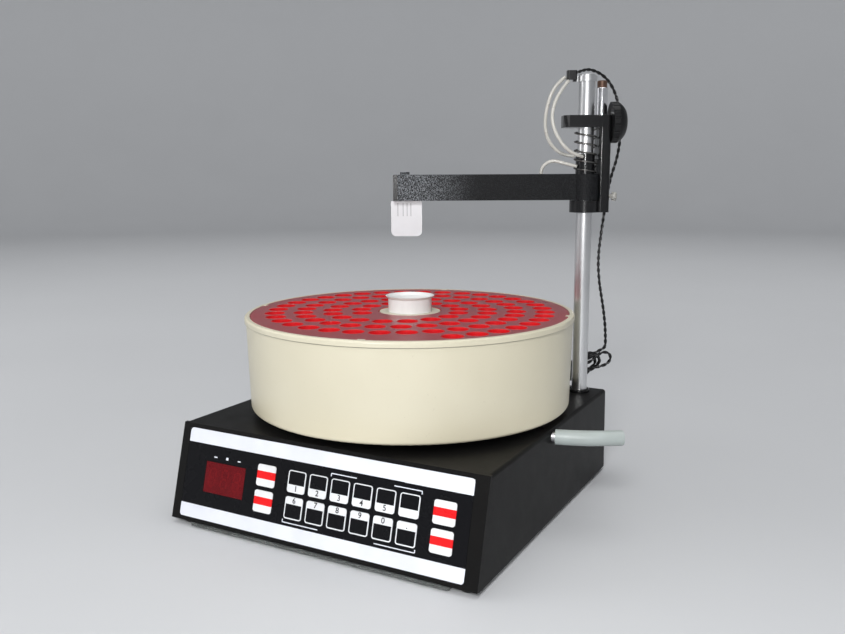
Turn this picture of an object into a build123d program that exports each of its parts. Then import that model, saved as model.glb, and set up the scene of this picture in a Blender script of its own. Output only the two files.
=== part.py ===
from build123d import *
import math
import os

os.makedirs("parts", exist_ok=True)

# Case
case_width = 293
case_depth = 307
case_height = 80.7
case_wall = 2.5
case_top_wall = 3
case_edge_radius = 3
case_rear_radius = 4
front_slope = 22
rear_slope = 2.7
bottom_wall = 2
foot_height = 4
foot_radius = 7
foot_inset = 12.5
fit_gap = 0.2
running_gap = 0.05
body_gap = 0.3
overrun = 1

# Bowl and rack
bowl_radius = 150
bowl_height = 82.8
bowl_lift = 6.2
bowl_back = 11.5
bowl_draft = 2.2
bowl_rim_step = 1.2
bowl_rim_band = 5
bowl_inner_radius = 145.5
bowl_floor = 3.5
hub_column_radius = 28
tube_bore_radius = 9.25
tube_spacing = 21.72
tube_count = 95
track_radius = 123.5
track_pitch = 25.8
track_turn = 27.4
track_start = -68.2
rack_top_thickness = 5
rack_plate_thickness = 3

# Post and head
post_side_inset = 21.3
post_rear_inset = 24.1
post_radius = 7.5
post_wall = 1.5
post_top = 387
head_turn = 28.7
arm_reach = 182
arm_height = 24.4
arm_width = 20
arm_bottom = 272.8
hub_radius = 14
tab_bottom = 340
tab_thickness = 11
collar_bottom = 261

# Drain, card
hose_radius = 6.5
hose_bore_radius = 4.4
hose_length = 56
hose_first_angle = 14
hose_last_angle = 36
hose_height = 78
hose_back = -3
card_width = 248
card_depth = 160
card_thickness = 2

# Heights and places that follow
case_top = foot_height + case_height
bowl_bottom = case_top + bowl_lift
bowl_top = bowl_bottom + bowl_height
rim_band_bottom = bowl_top - bowl_rim_band
bowl_wall_radius = bowl_radius - bowl_rim_step
rack_top = bowl_top - fit_gap
hose_bend = hose_length / math.radians(hose_last_angle - hose_first_angle)
hose_gap = 2
card_proud = 1

hose_rise_share = math.sin(math.radians(hose_last_angle)) - math.sin(math.radians(hose_first_angle))
hose_reach = hose_bend * hose_rise_share
right_reach = case_width / 2 + hose_gap + hose_reach + hose_radius * math.sin(math.radians(hose_last_angle))
front_reach = case_depth / 2 + card_proud
rear_reach = bowl_back + bowl_radius

# The origin is below the middle of the whole outline, so the case stands a little off it
base_x = (bowl_radius - right_reach) / 2
base_y = (front_reach - rear_reach) / 2
bowl_x = base_x
bowl_y = base_y + bowl_back
post_right = case_width / 2 - post_side_inset
post_back = case_depth / 2 - post_rear_inset
post_x = base_x + post_right
post_y = base_y + post_back
head_cos = math.cos(math.radians(head_turn))
head_sin = math.sin(math.radians(head_turn))


def level(height):
    return Plane(origin=(base_x, base_y, height))


def bowl_level(height):
    return Plane(origin=(bowl_x, bowl_y, height))


def head_level(height):
    """Flat plane at the post, its x axis pointing away from the arm and its y axis to the rear."""
    return Plane(origin=(post_x, post_y, height), x_dir=(head_cos, head_sin, 0), z_dir=(0, 0, 1))


def at_post(outward, behind, height):
    return (
        post_x + outward * head_cos - behind * head_sin,
        post_y + outward * head_sin + behind * head_cos,
        height,
    )


slope_length = math.hypot(case_height, front_slope)
panel_plane = Plane(
    origin=(base_x, base_y - case_depth / 2, foot_height),
    x_dir=(1, 0, 0),
    z_dir=(0, -case_height, front_slope),
)
rear_plane = Plane(
    origin=(base_x, base_y + case_depth / 2, foot_height),
    x_dir=(-1, 0, 0),
    z_dir=(0, case_height, rear_slope),
)
case_side = Plane(origin=(base_x - case_width / 2, base_y, foot_height), x_dir=(0, 1, 0), z_dir=(1, 0, 0))

# Front panel: a sloped plate with a shallow bed for the printed overlay
panel_thickness = 3
panel_run = panel_thickness * slope_length / case_height
panel_edge_radius = 1.2
overlay_width = 273
overlay_height = 76
overlay_rise = 42
overlay_left = -1.5
overlay_thickness = 0.6
overlay_corner = 3
window_width = 42.5
window_height = 26
window_left = -94.3
window_rise = 41
window_thickness = 2
key_height = 17.7
number_key_width = 17.2
function_key_width = 18.6
key_pitch = 20.85
key_row_pitch = 21.1
key_low_rise = 30.5
number_key_left = -20
left_key_column = -51
right_key_column = 113.8
key_corner = 2.2
key_thickness = 1.1
key_proud = 0.3
key_travel = 0.4
key_gap = 0.15
key_stem_radius = 2
key_stem_length = 6.4
stem_bore_radius = key_stem_radius + fit_gap
key_bed = key_thickness - key_proud + key_travel + fit_gap

key_places = {}
number_names = (
    ("key_6", "key_7", "key_8", "key_9", "key_0", "key_point"),
    ("key_1", "key_2", "key_3", "key_4", "key_5", "key_ce"),
)
for row, names in enumerate(number_names):
    for column, name in enumerate(names):
        key_place = (number_key_left + column * key_pitch, key_low_rise + row * key_row_pitch)
        key_places[name] = (key_place, number_key_width)
for row, (left_name, right_name) in enumerate((("key_feed", "key_return"), ("key_run", "key_pause"))):
    key_rise = key_low_rise + row * key_row_pitch
    key_places[left_name] = ((left_key_column, key_rise), function_key_width)
    key_places[right_name] = ((right_key_column, key_rise), function_key_width)

post_bore_gap = 0.1
drive_angle = 136.7
sleeve_ring_radius = 20
drive_hole_radius = 9
spindle_bore_radius = 14

# Drive sleeve place: beside the bowl, at the hidden rear corner
low_ring_rise = 16
high_ring_rise = 66
low_ring_height = case_top + low_ring_rise
high_ring_height = case_top + high_ring_rise
ring_width = 6


def bowl_radius_at(height):
    return bowl_wall_radius - bowl_draft * (rim_band_bottom - height) / (rim_band_bottom - bowl_bottom)


sleeve_distance = bowl_radius_at(high_ring_height) + body_gap + sleeve_ring_radius
sleeve_right = sleeve_distance * math.cos(math.radians(drive_angle))
sleeve_back = bowl_back + sleeve_distance * math.sin(math.radians(drive_angle))

# Drain: a sump in the top leads to a spigot through the right wall
spigot_radius = 4.3
spigot_bore_radius = 3
spigot_outside = 7
spigot_inside = 12
drain_exit = (base_x + case_width / 2, base_y + hose_back, hose_height)
drain_direction = (math.cos(math.radians(hose_first_angle)), math.sin(math.radians(hose_first_angle)), 0)
drain_plane = Plane(origin=drain_exit, x_dir=(0, 0, 1), z_dir=drain_direction)
drain_block_width = 18
drain_block_height = 13
drain_block_depth = 22
sump_radius = 4.5
sump_inset = 13

# Rear panel size and its screws, which reach into blocks on the tray and below the top
rear_thickness = 2
rear_panel_width = case_width - 2 * case_wall - 2 * fit_gap
rear_panel_height = case_height - case_top_wall - 2 * fit_gap
screw_head_radius = 3
screw_head = 1.8
screw_radius = 1.45
screw_inset = 9
screw_length = 9
screw_slot = 0.8
screw_block_width = 11
screw_block_depth = 8
screw_side_inset = 40
screw_width_apart = rear_panel_width - 2 * screw_side_inset
screw_height_apart = rear_panel_height - 2 * screw_inset
screw_block_front = case_depth / 2 - rear_slope - rear_thickness - screw_block_depth
screw_block_height = screw_inset + screw_block_width / 2
screw_plane = rear_plane.offset(-screw_length)

# Case cover: top and both sides in one shell, open to the front, the rear and below
recess_depth = 1
recess_radius = 140
cover_front = Plane(origin=(base_x, base_y - case_depth, foot_height), x_dir=(1, 0, 0), z_dir=(0, 1, 0))
with BuildPart() as case_cover:
    with BuildSketch(case_side):
        with BuildLine():
            Polyline(
                (-case_depth / 2 + panel_run, 0),
                (case_depth / 2, 0),
                (case_depth / 2 - rear_slope, case_height),
                (-case_depth / 2 + front_slope + panel_run, case_height),
                close=True,
            )
        make_face()
    extrude(amount=case_width)
    top_edges = case_cover.faces().sort_by(Axis.Z)[-1].edges()
    fillet(top_edges.filter_by(Axis.Y), radius=case_edge_radius)
    rear_edge = case_cover.edges().filter_by(Axis.X).group_by(Axis.Z)[-1].sort_by(Axis.Y)[-1]
    fillet(rear_edge, radius=case_rear_radius)
    with BuildSketch(cover_front):
        with Locations((0, -(case_height - case_top_wall - overrun) / 2)):
            Rectangle(case_width - 2 * case_wall, case_height - case_top_wall + overrun)
    extrude(amount=2 * case_depth, mode=Mode.SUBTRACT)
    with BuildSketch(level(case_top - case_top_wall - drain_block_height)):
        with Locations((case_width / 2 - case_wall - drain_block_depth / 2 + overrun, hose_back)):
            Rectangle(drain_block_depth + 2 * overrun, drain_block_width)
    extrude(amount=drain_block_height + overrun)
    with BuildSketch(level(case_top - case_top_wall - screw_block_height)):
        with Locations((0, screw_block_front + screw_block_depth / 2)):
            with GridLocations(screw_width_apart, 0, 2, 1):
                Rectangle(screw_block_width, screw_block_depth)
    extrude(amount=screw_block_height)
    with BuildSketch(screw_plane):
        with Locations((0, (rear_panel_height + screw_height_apart) / 2 + fit_gap)):
            with GridLocations(screw_width_apart, 0, 2, 1):
                Circle(screw_radius + running_gap)
    extrude(amount=screw_length, mode=Mode.SUBTRACT)
    with BuildSketch(bowl_level(case_top)):
        Circle(recess_radius)
    extrude(amount=-recess_depth, mode=Mode.SUBTRACT)
    with BuildSketch(bowl_level(case_top)):
        Circle(spindle_bore_radius)
    extrude(amount=-2 * case_top_wall, mode=Mode.SUBTRACT)
    with BuildSketch(level(case_top)):
        with Locations((post_right, post_back)):
            Circle(post_radius + post_bore_gap)
        with Locations((sleeve_right, sleeve_back)):
            Circle(drive_hole_radius)
    extrude(amount=-2 * case_top_wall, mode=Mode.SUBTRACT)
    with BuildSketch(level(case_top)):
        with Locations((case_width / 2 - sump_inset, hose_back)):
            Circle(sump_radius)
    extrude(amount=-(case_top - hose_height + sump_radius), mode=Mode.SUBTRACT)
    with BuildSketch(drain_plane):
        Circle(spigot_radius + running_gap)
    extrude(amount=-spigot_inside, both=True, mode=Mode.SUBTRACT)
case_cover.part.label = "case_cover"
export_step(case_cover.part, "parts/case_cover.step")

# Base plate: a tray inside the cover, with the card's runners below and the inner bosses above
flange_height = 12
runner_web = 2
runner_lip = 5
runner_lip_thickness = 0.8
card_gap = 0.3
card_top = foot_height - card_gap
card_bottom = card_top - card_thickness
runner_bottom = card_bottom - card_gap - runner_lip_thickness
tray_lean = (bottom_wall + flange_height) * front_slope / case_height
tray_front = -case_depth / 2 + panel_run + tray_lean + fit_gap
tray_back_gap = 3
tray_back = case_depth / 2 - tray_back_gap
tray_half = case_width / 2 - case_wall - fit_gap
tray_top = foot_height + bottom_wall
post_socket_radius = 14
post_socket_top = 40
pivot_right = -136
pivot_back = 92
pivot_radius = 3
pivot_boss_radius = 5.5
bracket_thickness = 3
bracket_drop = 6
bracket_height = case_top - case_top_wall - bracket_drop
board_pillar_radius = 3.5
board_height = 16
board_thickness = 1.6
board_right = -70
board_back = -62
board_width = 120
board_depth = 92
board_pillar_inset = 6
with BuildPart() as base_plate:
    with BuildSketch(level(foot_height)):
        with Locations((0, (tray_front + tray_back) / 2)):
            Rectangle(2 * tray_half, tray_back - tray_front)
    extrude(amount=bottom_wall)
    with BuildSketch(level(tray_top)):
        for side in (-1, 1):
            with Locations((side * (tray_half - bottom_wall / 2), (tray_front + tray_back) / 2)):
                Rectangle(bottom_wall, tray_back - tray_front)
    extrude(amount=flange_height)
    with BuildSketch(level(foot_height)):
        for side in (-1, 1):
            runner_middle = side * (card_width / 2 + card_gap + runner_web / 2)
            with Locations((runner_middle, tray_front + card_depth / 2)):
                Rectangle(runner_web, card_depth)
    extrude(amount=-(foot_height - runner_bottom))
    with BuildSketch(level(runner_bottom)):
        for side in (-1, 1):
            lip_middle = side * (card_width / 2 + card_gap + runner_web - runner_lip / 2)
            with Locations((lip_middle, tray_front + card_depth / 2)):
                Rectangle(runner_lip, card_depth)
    extrude(amount=runner_lip_thickness)
    with BuildSketch(level(tray_top)):
        with Locations((post_right, post_back)):
            Circle(post_socket_radius)
            Circle(post_radius + post_bore_gap, mode=Mode.SUBTRACT)
    extrude(amount=post_socket_top - tray_top)
    with BuildSketch(level(tray_top)):
        with Locations((pivot_right, pivot_back)):
            Circle(pivot_boss_radius)
    extrude(amount=bracket_height - tray_top)
    with BuildSketch(level(bracket_height)):
        with Locations((pivot_right, pivot_back)):
            Circle(pivot_radius)
    extrude(amount=bracket_thickness + overrun)
    with BuildSketch(level(tray_top)):
        with Locations((board_right, board_back)):
            with GridLocations(
                board_width - 2 * board_pillar_inset, board_depth - 2 * board_pillar_inset, 2, 2
            ):
                Circle(board_pillar_radius)
    extrude(amount=board_height - tray_top)
    with BuildSketch(level(tray_top)):
        with Locations((0, screw_block_front + screw_block_depth / 2)):
            with GridLocations(screw_width_apart, 0, 2, 1):
                Rectangle(screw_block_width, screw_block_depth)
    extrude(amount=screw_block_height)
    with BuildSketch(screw_plane):
        with Locations((0, (rear_panel_height - screw_height_apart) / 2 + fit_gap)):
            with GridLocations(screw_width_apart, 0, 2, 1):
                Circle(screw_radius + running_gap)
    extrude(amount=screw_length, mode=Mode.SUBTRACT)
base_plate.part.label = "base_plate"
export_step(base_plate.part, "parts/base_plate.step")

# Rubber feet
foot_bottom_radius = 6
foot_taper = math.degrees(math.atan((foot_radius - foot_bottom_radius) / foot_height))
with BuildPart() as feet:
    with BuildSketch(level(0)):
        with GridLocations(case_width - 2 * foot_inset, case_depth - 2 * foot_inset, 2, 2):
            Circle(foot_bottom_radius)
    extrude(amount=foot_height, taper=-foot_taper)
feet.part.label = "feet"
export_step(feet.part, "parts/feet.step")

# Reference card: a clear sheet in the runners, with a rounded front edge
card_front = -case_depth / 2 - card_proud
with BuildPart() as reference_card:
    with BuildSketch(level(card_bottom)):
        with Locations((0, card_front + card_depth / 2)):
            Rectangle(card_width, card_depth)
    extrude(amount=card_thickness)
    fillet(reference_card.edges().filter_by(Axis.Z), radius=card_thickness)
reference_card.part.label = "reference_card"
export_step(reference_card.part, "parts/reference_card.step")

# Front panel with its window, key beds and stem bores
pillar_radius = 3
pillar_inset = 8
pillar_height = 6
key_board_width = 255
key_board_height = 62
with BuildPart() as front_panel:
    with BuildSketch(case_side):
        with BuildLine():
            Polyline(
                (-case_depth / 2, 0),
                (-case_depth / 2 + panel_run, 0),
                (-case_depth / 2 + front_slope + panel_run, case_height),
                (-case_depth / 2 + front_slope, case_height),
                close=True,
            )
        make_face()
    extrude(amount=case_width)
    panel_front = front_panel.faces().sort_by(Axis.Y)[0]
    fillet(panel_front.edges(), radius=panel_edge_radius)
    with BuildSketch(panel_plane):
        with Locations((overlay_left, overlay_rise)):
            RectangleRounded(overlay_width + 2 * fit_gap, overlay_height + 2 * fit_gap, overlay_corner)
    extrude(amount=-overlay_thickness, mode=Mode.SUBTRACT)
    with BuildSketch(panel_plane):
        with Locations((window_left, window_rise)):
            Rectangle(window_width + 2 * fit_gap, window_height + 2 * fit_gap)
    extrude(amount=-2 * panel_thickness, mode=Mode.SUBTRACT)
    with BuildSketch(panel_plane.offset(-overlay_thickness)):
        for key_place, key_width in key_places.values():
            with Locations(key_place):
                RectangleRounded(key_width + 2 * key_gap, key_height + 2 * key_gap, key_corner)
    extrude(amount=-key_bed, mode=Mode.SUBTRACT)
    with BuildSketch(panel_plane):
        for key_place, key_width in key_places.values():
            with Locations(key_place):
                Circle(stem_bore_radius)
    extrude(amount=-2 * panel_thickness, mode=Mode.SUBTRACT)
    with BuildSketch(panel_plane.offset(-panel_thickness)):
        with Locations((overlay_left, overlay_rise)):
            with GridLocations(key_board_width - 2 * pillar_inset, key_board_height - pillar_inset, 2, 2):
                Circle(pillar_radius)
    extrude(amount=-pillar_height)
front_panel.part.label = "front_panel"
export_step(front_panel.part, "parts/front_panel.step")

# Printed overlay with an opening for the window and each key
with BuildPart() as panel_overlay:
    with BuildSketch(panel_plane.offset(-overlay_thickness)):
        with Locations((overlay_left, overlay_rise)):
            RectangleRounded(overlay_width, overlay_height, overlay_corner)
        with Locations((window_left, window_rise)):
            Rectangle(window_width + 2 * fit_gap, window_height + 2 * fit_gap, mode=Mode.SUBTRACT)
        for key_place, key_width in key_places.values():
            with Locations(key_place):
                RectangleRounded(
                    key_width + 2 * key_gap, key_height + 2 * key_gap, key_corner, mode=Mode.SUBTRACT
                )
    extrude(amount=overlay_thickness)
panel_overlay.part.label = "panel_overlay"
export_step(panel_overlay.part, "parts/panel_overlay.step")

with BuildPart() as display_window:
    with BuildSketch(panel_plane.offset(-window_thickness)):
        with Locations((window_left, window_rise)):
            Rectangle(window_width, window_height)
    extrude(amount=window_thickness)
display_window.part.label = "display_window"
export_step(display_window.part, "parts/display_window.step")

# Keys: thin rounded pads, each with a stem that reaches its switch
for name, (key_place, key_width) in key_places.items():
    with BuildPart() as key:
        with BuildSketch(panel_plane.offset(key_proud)):
            with Locations(key_place):
                RectangleRounded(key_width, key_height, key_corner)
        extrude(amount=-key_thickness)
        with BuildSketch(panel_plane):
            with Locations(key_place):
                Circle(key_stem_radius)
        extrude(amount=-key_stem_length)
    key.part.label = name
    export_step(key.part, f"parts/{name}.step")

# Control board behind the panel: switches under the stems and a three digit display block
switch_size = 6
switch_height = pillar_height + panel_thickness - key_stem_length - key_travel - fit_gap
display_depth = 5
digit_count = 3
digit_gap = 1
with BuildPart() as control_board:
    with BuildSketch(panel_plane.offset(-panel_thickness - pillar_height)):
        with Locations((overlay_left, overlay_rise)):
            Rectangle(key_board_width, key_board_height)
    extrude(amount=-board_thickness)
    with BuildSketch(panel_plane.offset(-panel_thickness - pillar_height)):
        for key_place, key_width in key_places.values():
            with Locations(key_place):
                Rectangle(switch_size, switch_size)
    extrude(amount=switch_height)
    digit_width = (window_width - (digit_count + 1) * digit_gap) / digit_count
    with BuildSketch(panel_plane.offset(-panel_thickness - pillar_height)):
        with Locations((window_left, window_rise)):
            with GridLocations(digit_width + digit_gap, digit_width, digit_count, 1):
                Rectangle(digit_width, window_height - 2 * digit_gap)
    extrude(amount=display_depth)
control_board.part.label = "control_board"
export_step(control_board.part, "parts/control_board.step")

# Rear panel with its cut-outs
inlet_left = 80
inlet_rise = 34
inlet_width = 27
inlet_height = 20
switch_left = 46
rocker_width = 12
rocker_height = 18
switch_frame = 1.5
rocker_swing_gap = 1.4
switch_frame_width = rocker_width + 2 * body_gap + 2 * switch_frame
switch_frame_height = rocker_height + 2 * rocker_swing_gap + 2 * switch_frame
socket_radius = 8
socket_rise = 44
socket_pitch = 32
socket_count = 3
socket_first = 0
gland_inset = 46.5
gland_left = gland_inset - case_width / 2
gland_rise = 55
gland_radius = 4.5
with BuildPart() as rear_panel:
    with BuildSketch(rear_plane):
        with Locations((0, rear_panel_height / 2 + fit_gap)):
            Rectangle(rear_panel_width, rear_panel_height)
        with Locations((inlet_left, inlet_rise)):
            Rectangle(inlet_width + 2 * fit_gap, inlet_height + 2 * fit_gap, mode=Mode.SUBTRACT)
        with Locations((switch_left, inlet_rise)):
            Rectangle(switch_frame_width + 2 * fit_gap, switch_frame_height + 2 * fit_gap, mode=Mode.SUBTRACT)
        for number in range(socket_count):
            with Locations((socket_first - number * socket_pitch, socket_rise)):
                Circle(socket_radius, mode=Mode.SUBTRACT)
        with Locations((gland_left, gland_rise)):
            Circle(gland_radius, mode=Mode.SUBTRACT)
        with Locations((0, rear_panel_height / 2 + fit_gap)):
            with GridLocations(screw_width_apart, screw_height_apart, 2, 2):
                Circle(screw_radius + running_gap, mode=Mode.SUBTRACT)
    extrude(amount=-rear_thickness)
rear_panel.part.label = "rear_panel"
export_step(rear_panel.part, "parts/rear_panel.step")

# Rear sockets: mains inlet with pins, switch frame, round signal sockets and the cable gland
inlet_flange = 3
inlet_depth = 24
inlet_wall = 2
inlet_pocket = 16
pin_width = 2
pin_height = 6
pin_spread = 7
switch_depth = 20
socket_body_radius = 7.7
socket_depth = 14
socket_face_radius = 6
socket_face_depth = 3
cable_radius = 1.6
gland_length = 8
gland_tip_radius = 3
gland_taper = math.degrees(math.atan((gland_radius - gland_tip_radius) / gland_length))
flange_thickness = 1.5
rocker_inside = 2
rocker_pin_radius = 1.5
rocker_pin_reach = 1.2
rocker_centre = rear_plane.from_local_coords((switch_left + rocker_width / 2, inlet_rise, -rocker_inside))
rocker_plane = Plane(origin=rocker_centre, x_dir=rear_plane.z_dir, z_dir=(1, 0, 0))
with BuildPart() as rear_sockets:
    with BuildSketch(rear_plane):
        with Locations((inlet_left, inlet_rise)):
            RectangleRounded(inlet_width + 2 * inlet_flange, inlet_height + 2 * inlet_flange, inlet_flange)
    extrude(amount=flange_thickness)
    with BuildSketch(rear_plane):
        with Locations((inlet_left, inlet_rise)):
            Rectangle(inlet_width, inlet_height)
    extrude(amount=-inlet_depth)
    with BuildSketch(rear_plane.offset(flange_thickness)):
        with Locations((inlet_left, inlet_rise)):
            Rectangle(inlet_width - 2 * inlet_wall, inlet_height - 2 * inlet_wall)
    extrude(amount=-inlet_pocket, mode=Mode.SUBTRACT)
    with BuildSketch(rear_plane.offset(flange_thickness - inlet_pocket)):
        with Locations((inlet_left, inlet_rise + pin_width)):
            Rectangle(pin_width, pin_height)
        for side in (-1, 1):
            with Locations((inlet_left + side * pin_spread, inlet_rise - pin_width)):
                Rectangle(pin_width, pin_height)
    extrude(amount=inlet_pocket - 2 * flange_thickness)
    with BuildSketch(rear_plane.offset(-switch_depth)):
        with Locations((switch_left, inlet_rise)):
            Rectangle(switch_frame_width, switch_frame_height)
    extrude(amount=switch_depth + flange_thickness)
    with BuildSketch(rear_plane.offset(flange_thickness)):
        with Locations((switch_left, inlet_rise)):
            Rectangle(rocker_width + 2 * body_gap, rocker_height + 2 * rocker_swing_gap)
    extrude(amount=-(switch_depth - switch_frame), mode=Mode.SUBTRACT)
    with BuildSketch(rocker_plane.offset(-rocker_pin_reach - running_gap)):
        Circle(rocker_pin_radius + running_gap)
    extrude(amount=rocker_width + 2 * rocker_pin_reach + 2 * running_gap, mode=Mode.SUBTRACT)
    for number in range(socket_count):
        with BuildSketch(rear_plane.offset(-socket_depth)):
            with Locations((socket_first - number * socket_pitch, socket_rise)):
                Circle(socket_body_radius)
        extrude(amount=socket_depth)
        with BuildSketch(rear_plane):
            with Locations((socket_first - number * socket_pitch, socket_rise)):
                Circle(socket_body_radius + flange_thickness)
        extrude(amount=flange_thickness)
        with BuildSketch(rear_plane.offset(flange_thickness)):
            with Locations((socket_first - number * socket_pitch, socket_rise)):
                Circle(socket_face_radius)
        extrude(amount=-socket_face_depth, mode=Mode.SUBTRACT)
    with BuildSketch(rear_plane.offset(-rear_thickness)):
        with Locations((gland_left, gland_rise)):
            Circle(gland_radius)
    extrude(amount=rear_thickness)
    with BuildSketch(rear_plane):
        with Locations((gland_left, gland_rise)):
            Circle(gland_radius + flange_thickness)
    extrude(amount=gland_length, taper=gland_taper)
rear_sockets.part.label = "rear_sockets"
export_step(rear_sockets.part, "parts/rear_sockets.step")

# Rocker: a shallow V face on two short pins, resting on its lower half
rocker_proud = 0.5
rocker_fold = 16
rocker_back = 5
rocker_tail = 3
rocker_face = rocker_inside + rocker_proud
rocker_peak = rocker_face + rocker_height / 2 * math.tan(math.radians(rocker_fold))
with BuildPart() as power_rocker:
    with BuildSketch(rocker_plane):
        with BuildLine():
            Polyline(
                (rocker_face, -rocker_height / 2),
                (rocker_face, 0),
                (rocker_peak, rocker_height / 2),
                (-rocker_back, rocker_tail),
                (-rocker_back, -rocker_tail),
                close=True,
            )
        make_face()
    extrude(amount=rocker_width)
    with BuildSketch(rocker_plane.offset(-rocker_pin_reach)):
        Circle(rocker_pin_radius)
    extrude(amount=rocker_width + 2 * rocker_pin_reach)
power_rocker.part.label = "power_rocker"
export_step(power_rocker.part, "parts/power_rocker.step")

# Main circuit board with its larger parts
chip_height = 4
chip_columns = 3
chip_rows = 2
chip_width = 16
chip_depth = 8
chip_pitch = 28
heat_sink_width = 40
heat_sink_depth = 12
heat_sink_height = 24
heat_sink_back = 33
heat_fin = 1.5
heat_fin_pitch = 4
capacitor_radius = 8
capacitor_height = 22
capacitor_right = -42
capacitor_back = 28
with BuildPart() as main_board:
    with BuildSketch(level(board_height)):
        with Locations((board_right, board_back)):
            Rectangle(board_width, board_depth)
    extrude(amount=board_thickness)
    with BuildSketch(level(board_height + board_thickness)):
        with Locations((board_right, board_back)):
            with GridLocations(chip_pitch, chip_pitch, chip_columns, chip_rows):
                Rectangle(chip_width, chip_depth)
    extrude(amount=chip_height)
    with BuildSketch(level(board_height + board_thickness)):
        with Locations((board_right, board_back + heat_sink_back)):
            with GridLocations(heat_fin_pitch, heat_fin_pitch, int(heat_sink_width / heat_fin_pitch), 1):
                Rectangle(heat_fin, heat_sink_depth)
            Rectangle(heat_sink_width, heat_fin)
    extrude(amount=heat_sink_height)
    with BuildSketch(level(board_height + board_thickness)):
        with Locations((board_right + capacitor_right, board_back + capacitor_back)):
            Circle(capacitor_radius)
    extrude(amount=capacitor_height)
main_board.part.label = "main_board"
export_step(main_board.part, "parts/main_board.step")

# Mains transformer: a stack of plates with a wound bobbin through its middle
core_width = 58
core_depth = 24
core_height = 48
core_right = -18
core_rear_inset = 45.5
core_back = case_depth / 2 - core_rear_inset
coil_depth = 44
coil_width = 36
coil_height = 30
coil_corner = 5
tab_width = 74
tab_height = 1.5
with BuildPart() as transformer:
    with BuildSketch(level(tray_top)):
        with Locations((core_right, core_back)):
            Rectangle(tab_width, core_depth)
    extrude(amount=tab_height)
    with BuildSketch(level(tray_top)):
        with Locations((core_right, core_back)):
            Rectangle(core_width, core_depth)
    extrude(amount=core_height)
    with BuildSketch(level(tray_top + (core_height - coil_height) / 2)):
        with Locations((core_right, core_back)):
            RectangleRounded(coil_width, coil_depth, coil_corner)
    extrude(amount=coil_height)
transformer.part.label = "transformer"
export_step(transformer.part, "parts/transformer.step")

# Spindle housing hangs from the case top and holds two bearings
housing_flange_radius = 35
housing_flange = 4
housing_radius = 17.5
housing_length = 44
bearing_outer_radius = 13
bearing_inner_radius = 5
bearing_width = 8
bearing_lip = 1.5
bearing_race = 2.4
housing_top = case_top - case_top_wall
housing_bottom = housing_top - housing_length
with BuildPart() as spindle_housing:
    with BuildSketch(bowl_level(housing_top)):
        Circle(housing_flange_radius)
    extrude(amount=-housing_flange)
    with BuildSketch(bowl_level(housing_top)):
        Circle(housing_radius)
    extrude(amount=-housing_length)
    with BuildSketch(bowl_level(housing_top)):
        Circle(bearing_outer_radius - bearing_lip)
    extrude(amount=-housing_length, mode=Mode.SUBTRACT)
    with BuildSketch(bowl_level(housing_top)):
        Circle(bearing_outer_radius)
    extrude(amount=-bearing_width, mode=Mode.SUBTRACT)
    with BuildSketch(bowl_level(housing_bottom)):
        Circle(bearing_outer_radius)
    extrude(amount=bearing_width, mode=Mode.SUBTRACT)
    with BuildSketch(bowl_level(housing_top)):
        with PolarLocations((housing_flange_radius + housing_radius) / 2, 4):
            Circle(bearing_lip)
    extrude(amount=-housing_flange, mode=Mode.SUBTRACT)
spindle_housing.part.label = "spindle_housing"
export_step(spindle_housing.part, "parts/spindle_housing.step")

with BuildPart() as spindle_bearings:
    for bearing_bottom in (housing_bottom, housing_top - bearing_width):
        with BuildSketch(bowl_level(bearing_bottom)):
            Circle(bearing_outer_radius)
            Circle(bearing_inner_radius + running_gap, mode=Mode.SUBTRACT)
        extrude(amount=bearing_width)
        with BuildSketch(bowl_level(bearing_bottom)):
            Circle(bearing_outer_radius - bearing_race)
            Circle(bearing_inner_radius + bearing_race, mode=Mode.SUBTRACT)
        extrude(amount=running_gap * bearing_width, mode=Mode.SUBTRACT)
spindle_bearings.part.label = "spindle_bearings"
export_step(spindle_bearings.part, "parts/spindle_bearings.step")

# Spindle: a shaft in the bearings, with a plate that carries the bowl and a boss that centres it
spindle_plate_radius = 45
spindle_plate = 4.6
spindle_boss_radius = 24.8
spindle_boss_height = 9
spindle_shoulder_radius = 7
with BuildPart() as bowl_spindle:
    with BuildSketch(bowl_level(bowl_bottom - spindle_plate)):
        Circle(spindle_plate_radius)
    extrude(amount=spindle_plate)
    with BuildSketch(bowl_level(bowl_bottom)):
        Circle(spindle_boss_radius)
    extrude(amount=spindle_boss_height)
    chamfer(bowl_spindle.faces().sort_by(Axis.Z)[-1].edges(), length=overrun)
    with BuildSketch(bowl_level(bowl_bottom - spindle_plate)):
        Circle(spindle_shoulder_radius)
    extrude(amount=-(bowl_bottom - spindle_plate - housing_top - body_gap))
    with BuildSketch(bowl_level(housing_bottom - overrun)):
        Circle(bearing_inner_radius)
    extrude(amount=bowl_bottom - spindle_plate - housing_bottom + overrun)
bowl_spindle.part.label = "bowl_spindle"
export_step(bowl_spindle.part, "parts/bowl_spindle.step")

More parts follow.
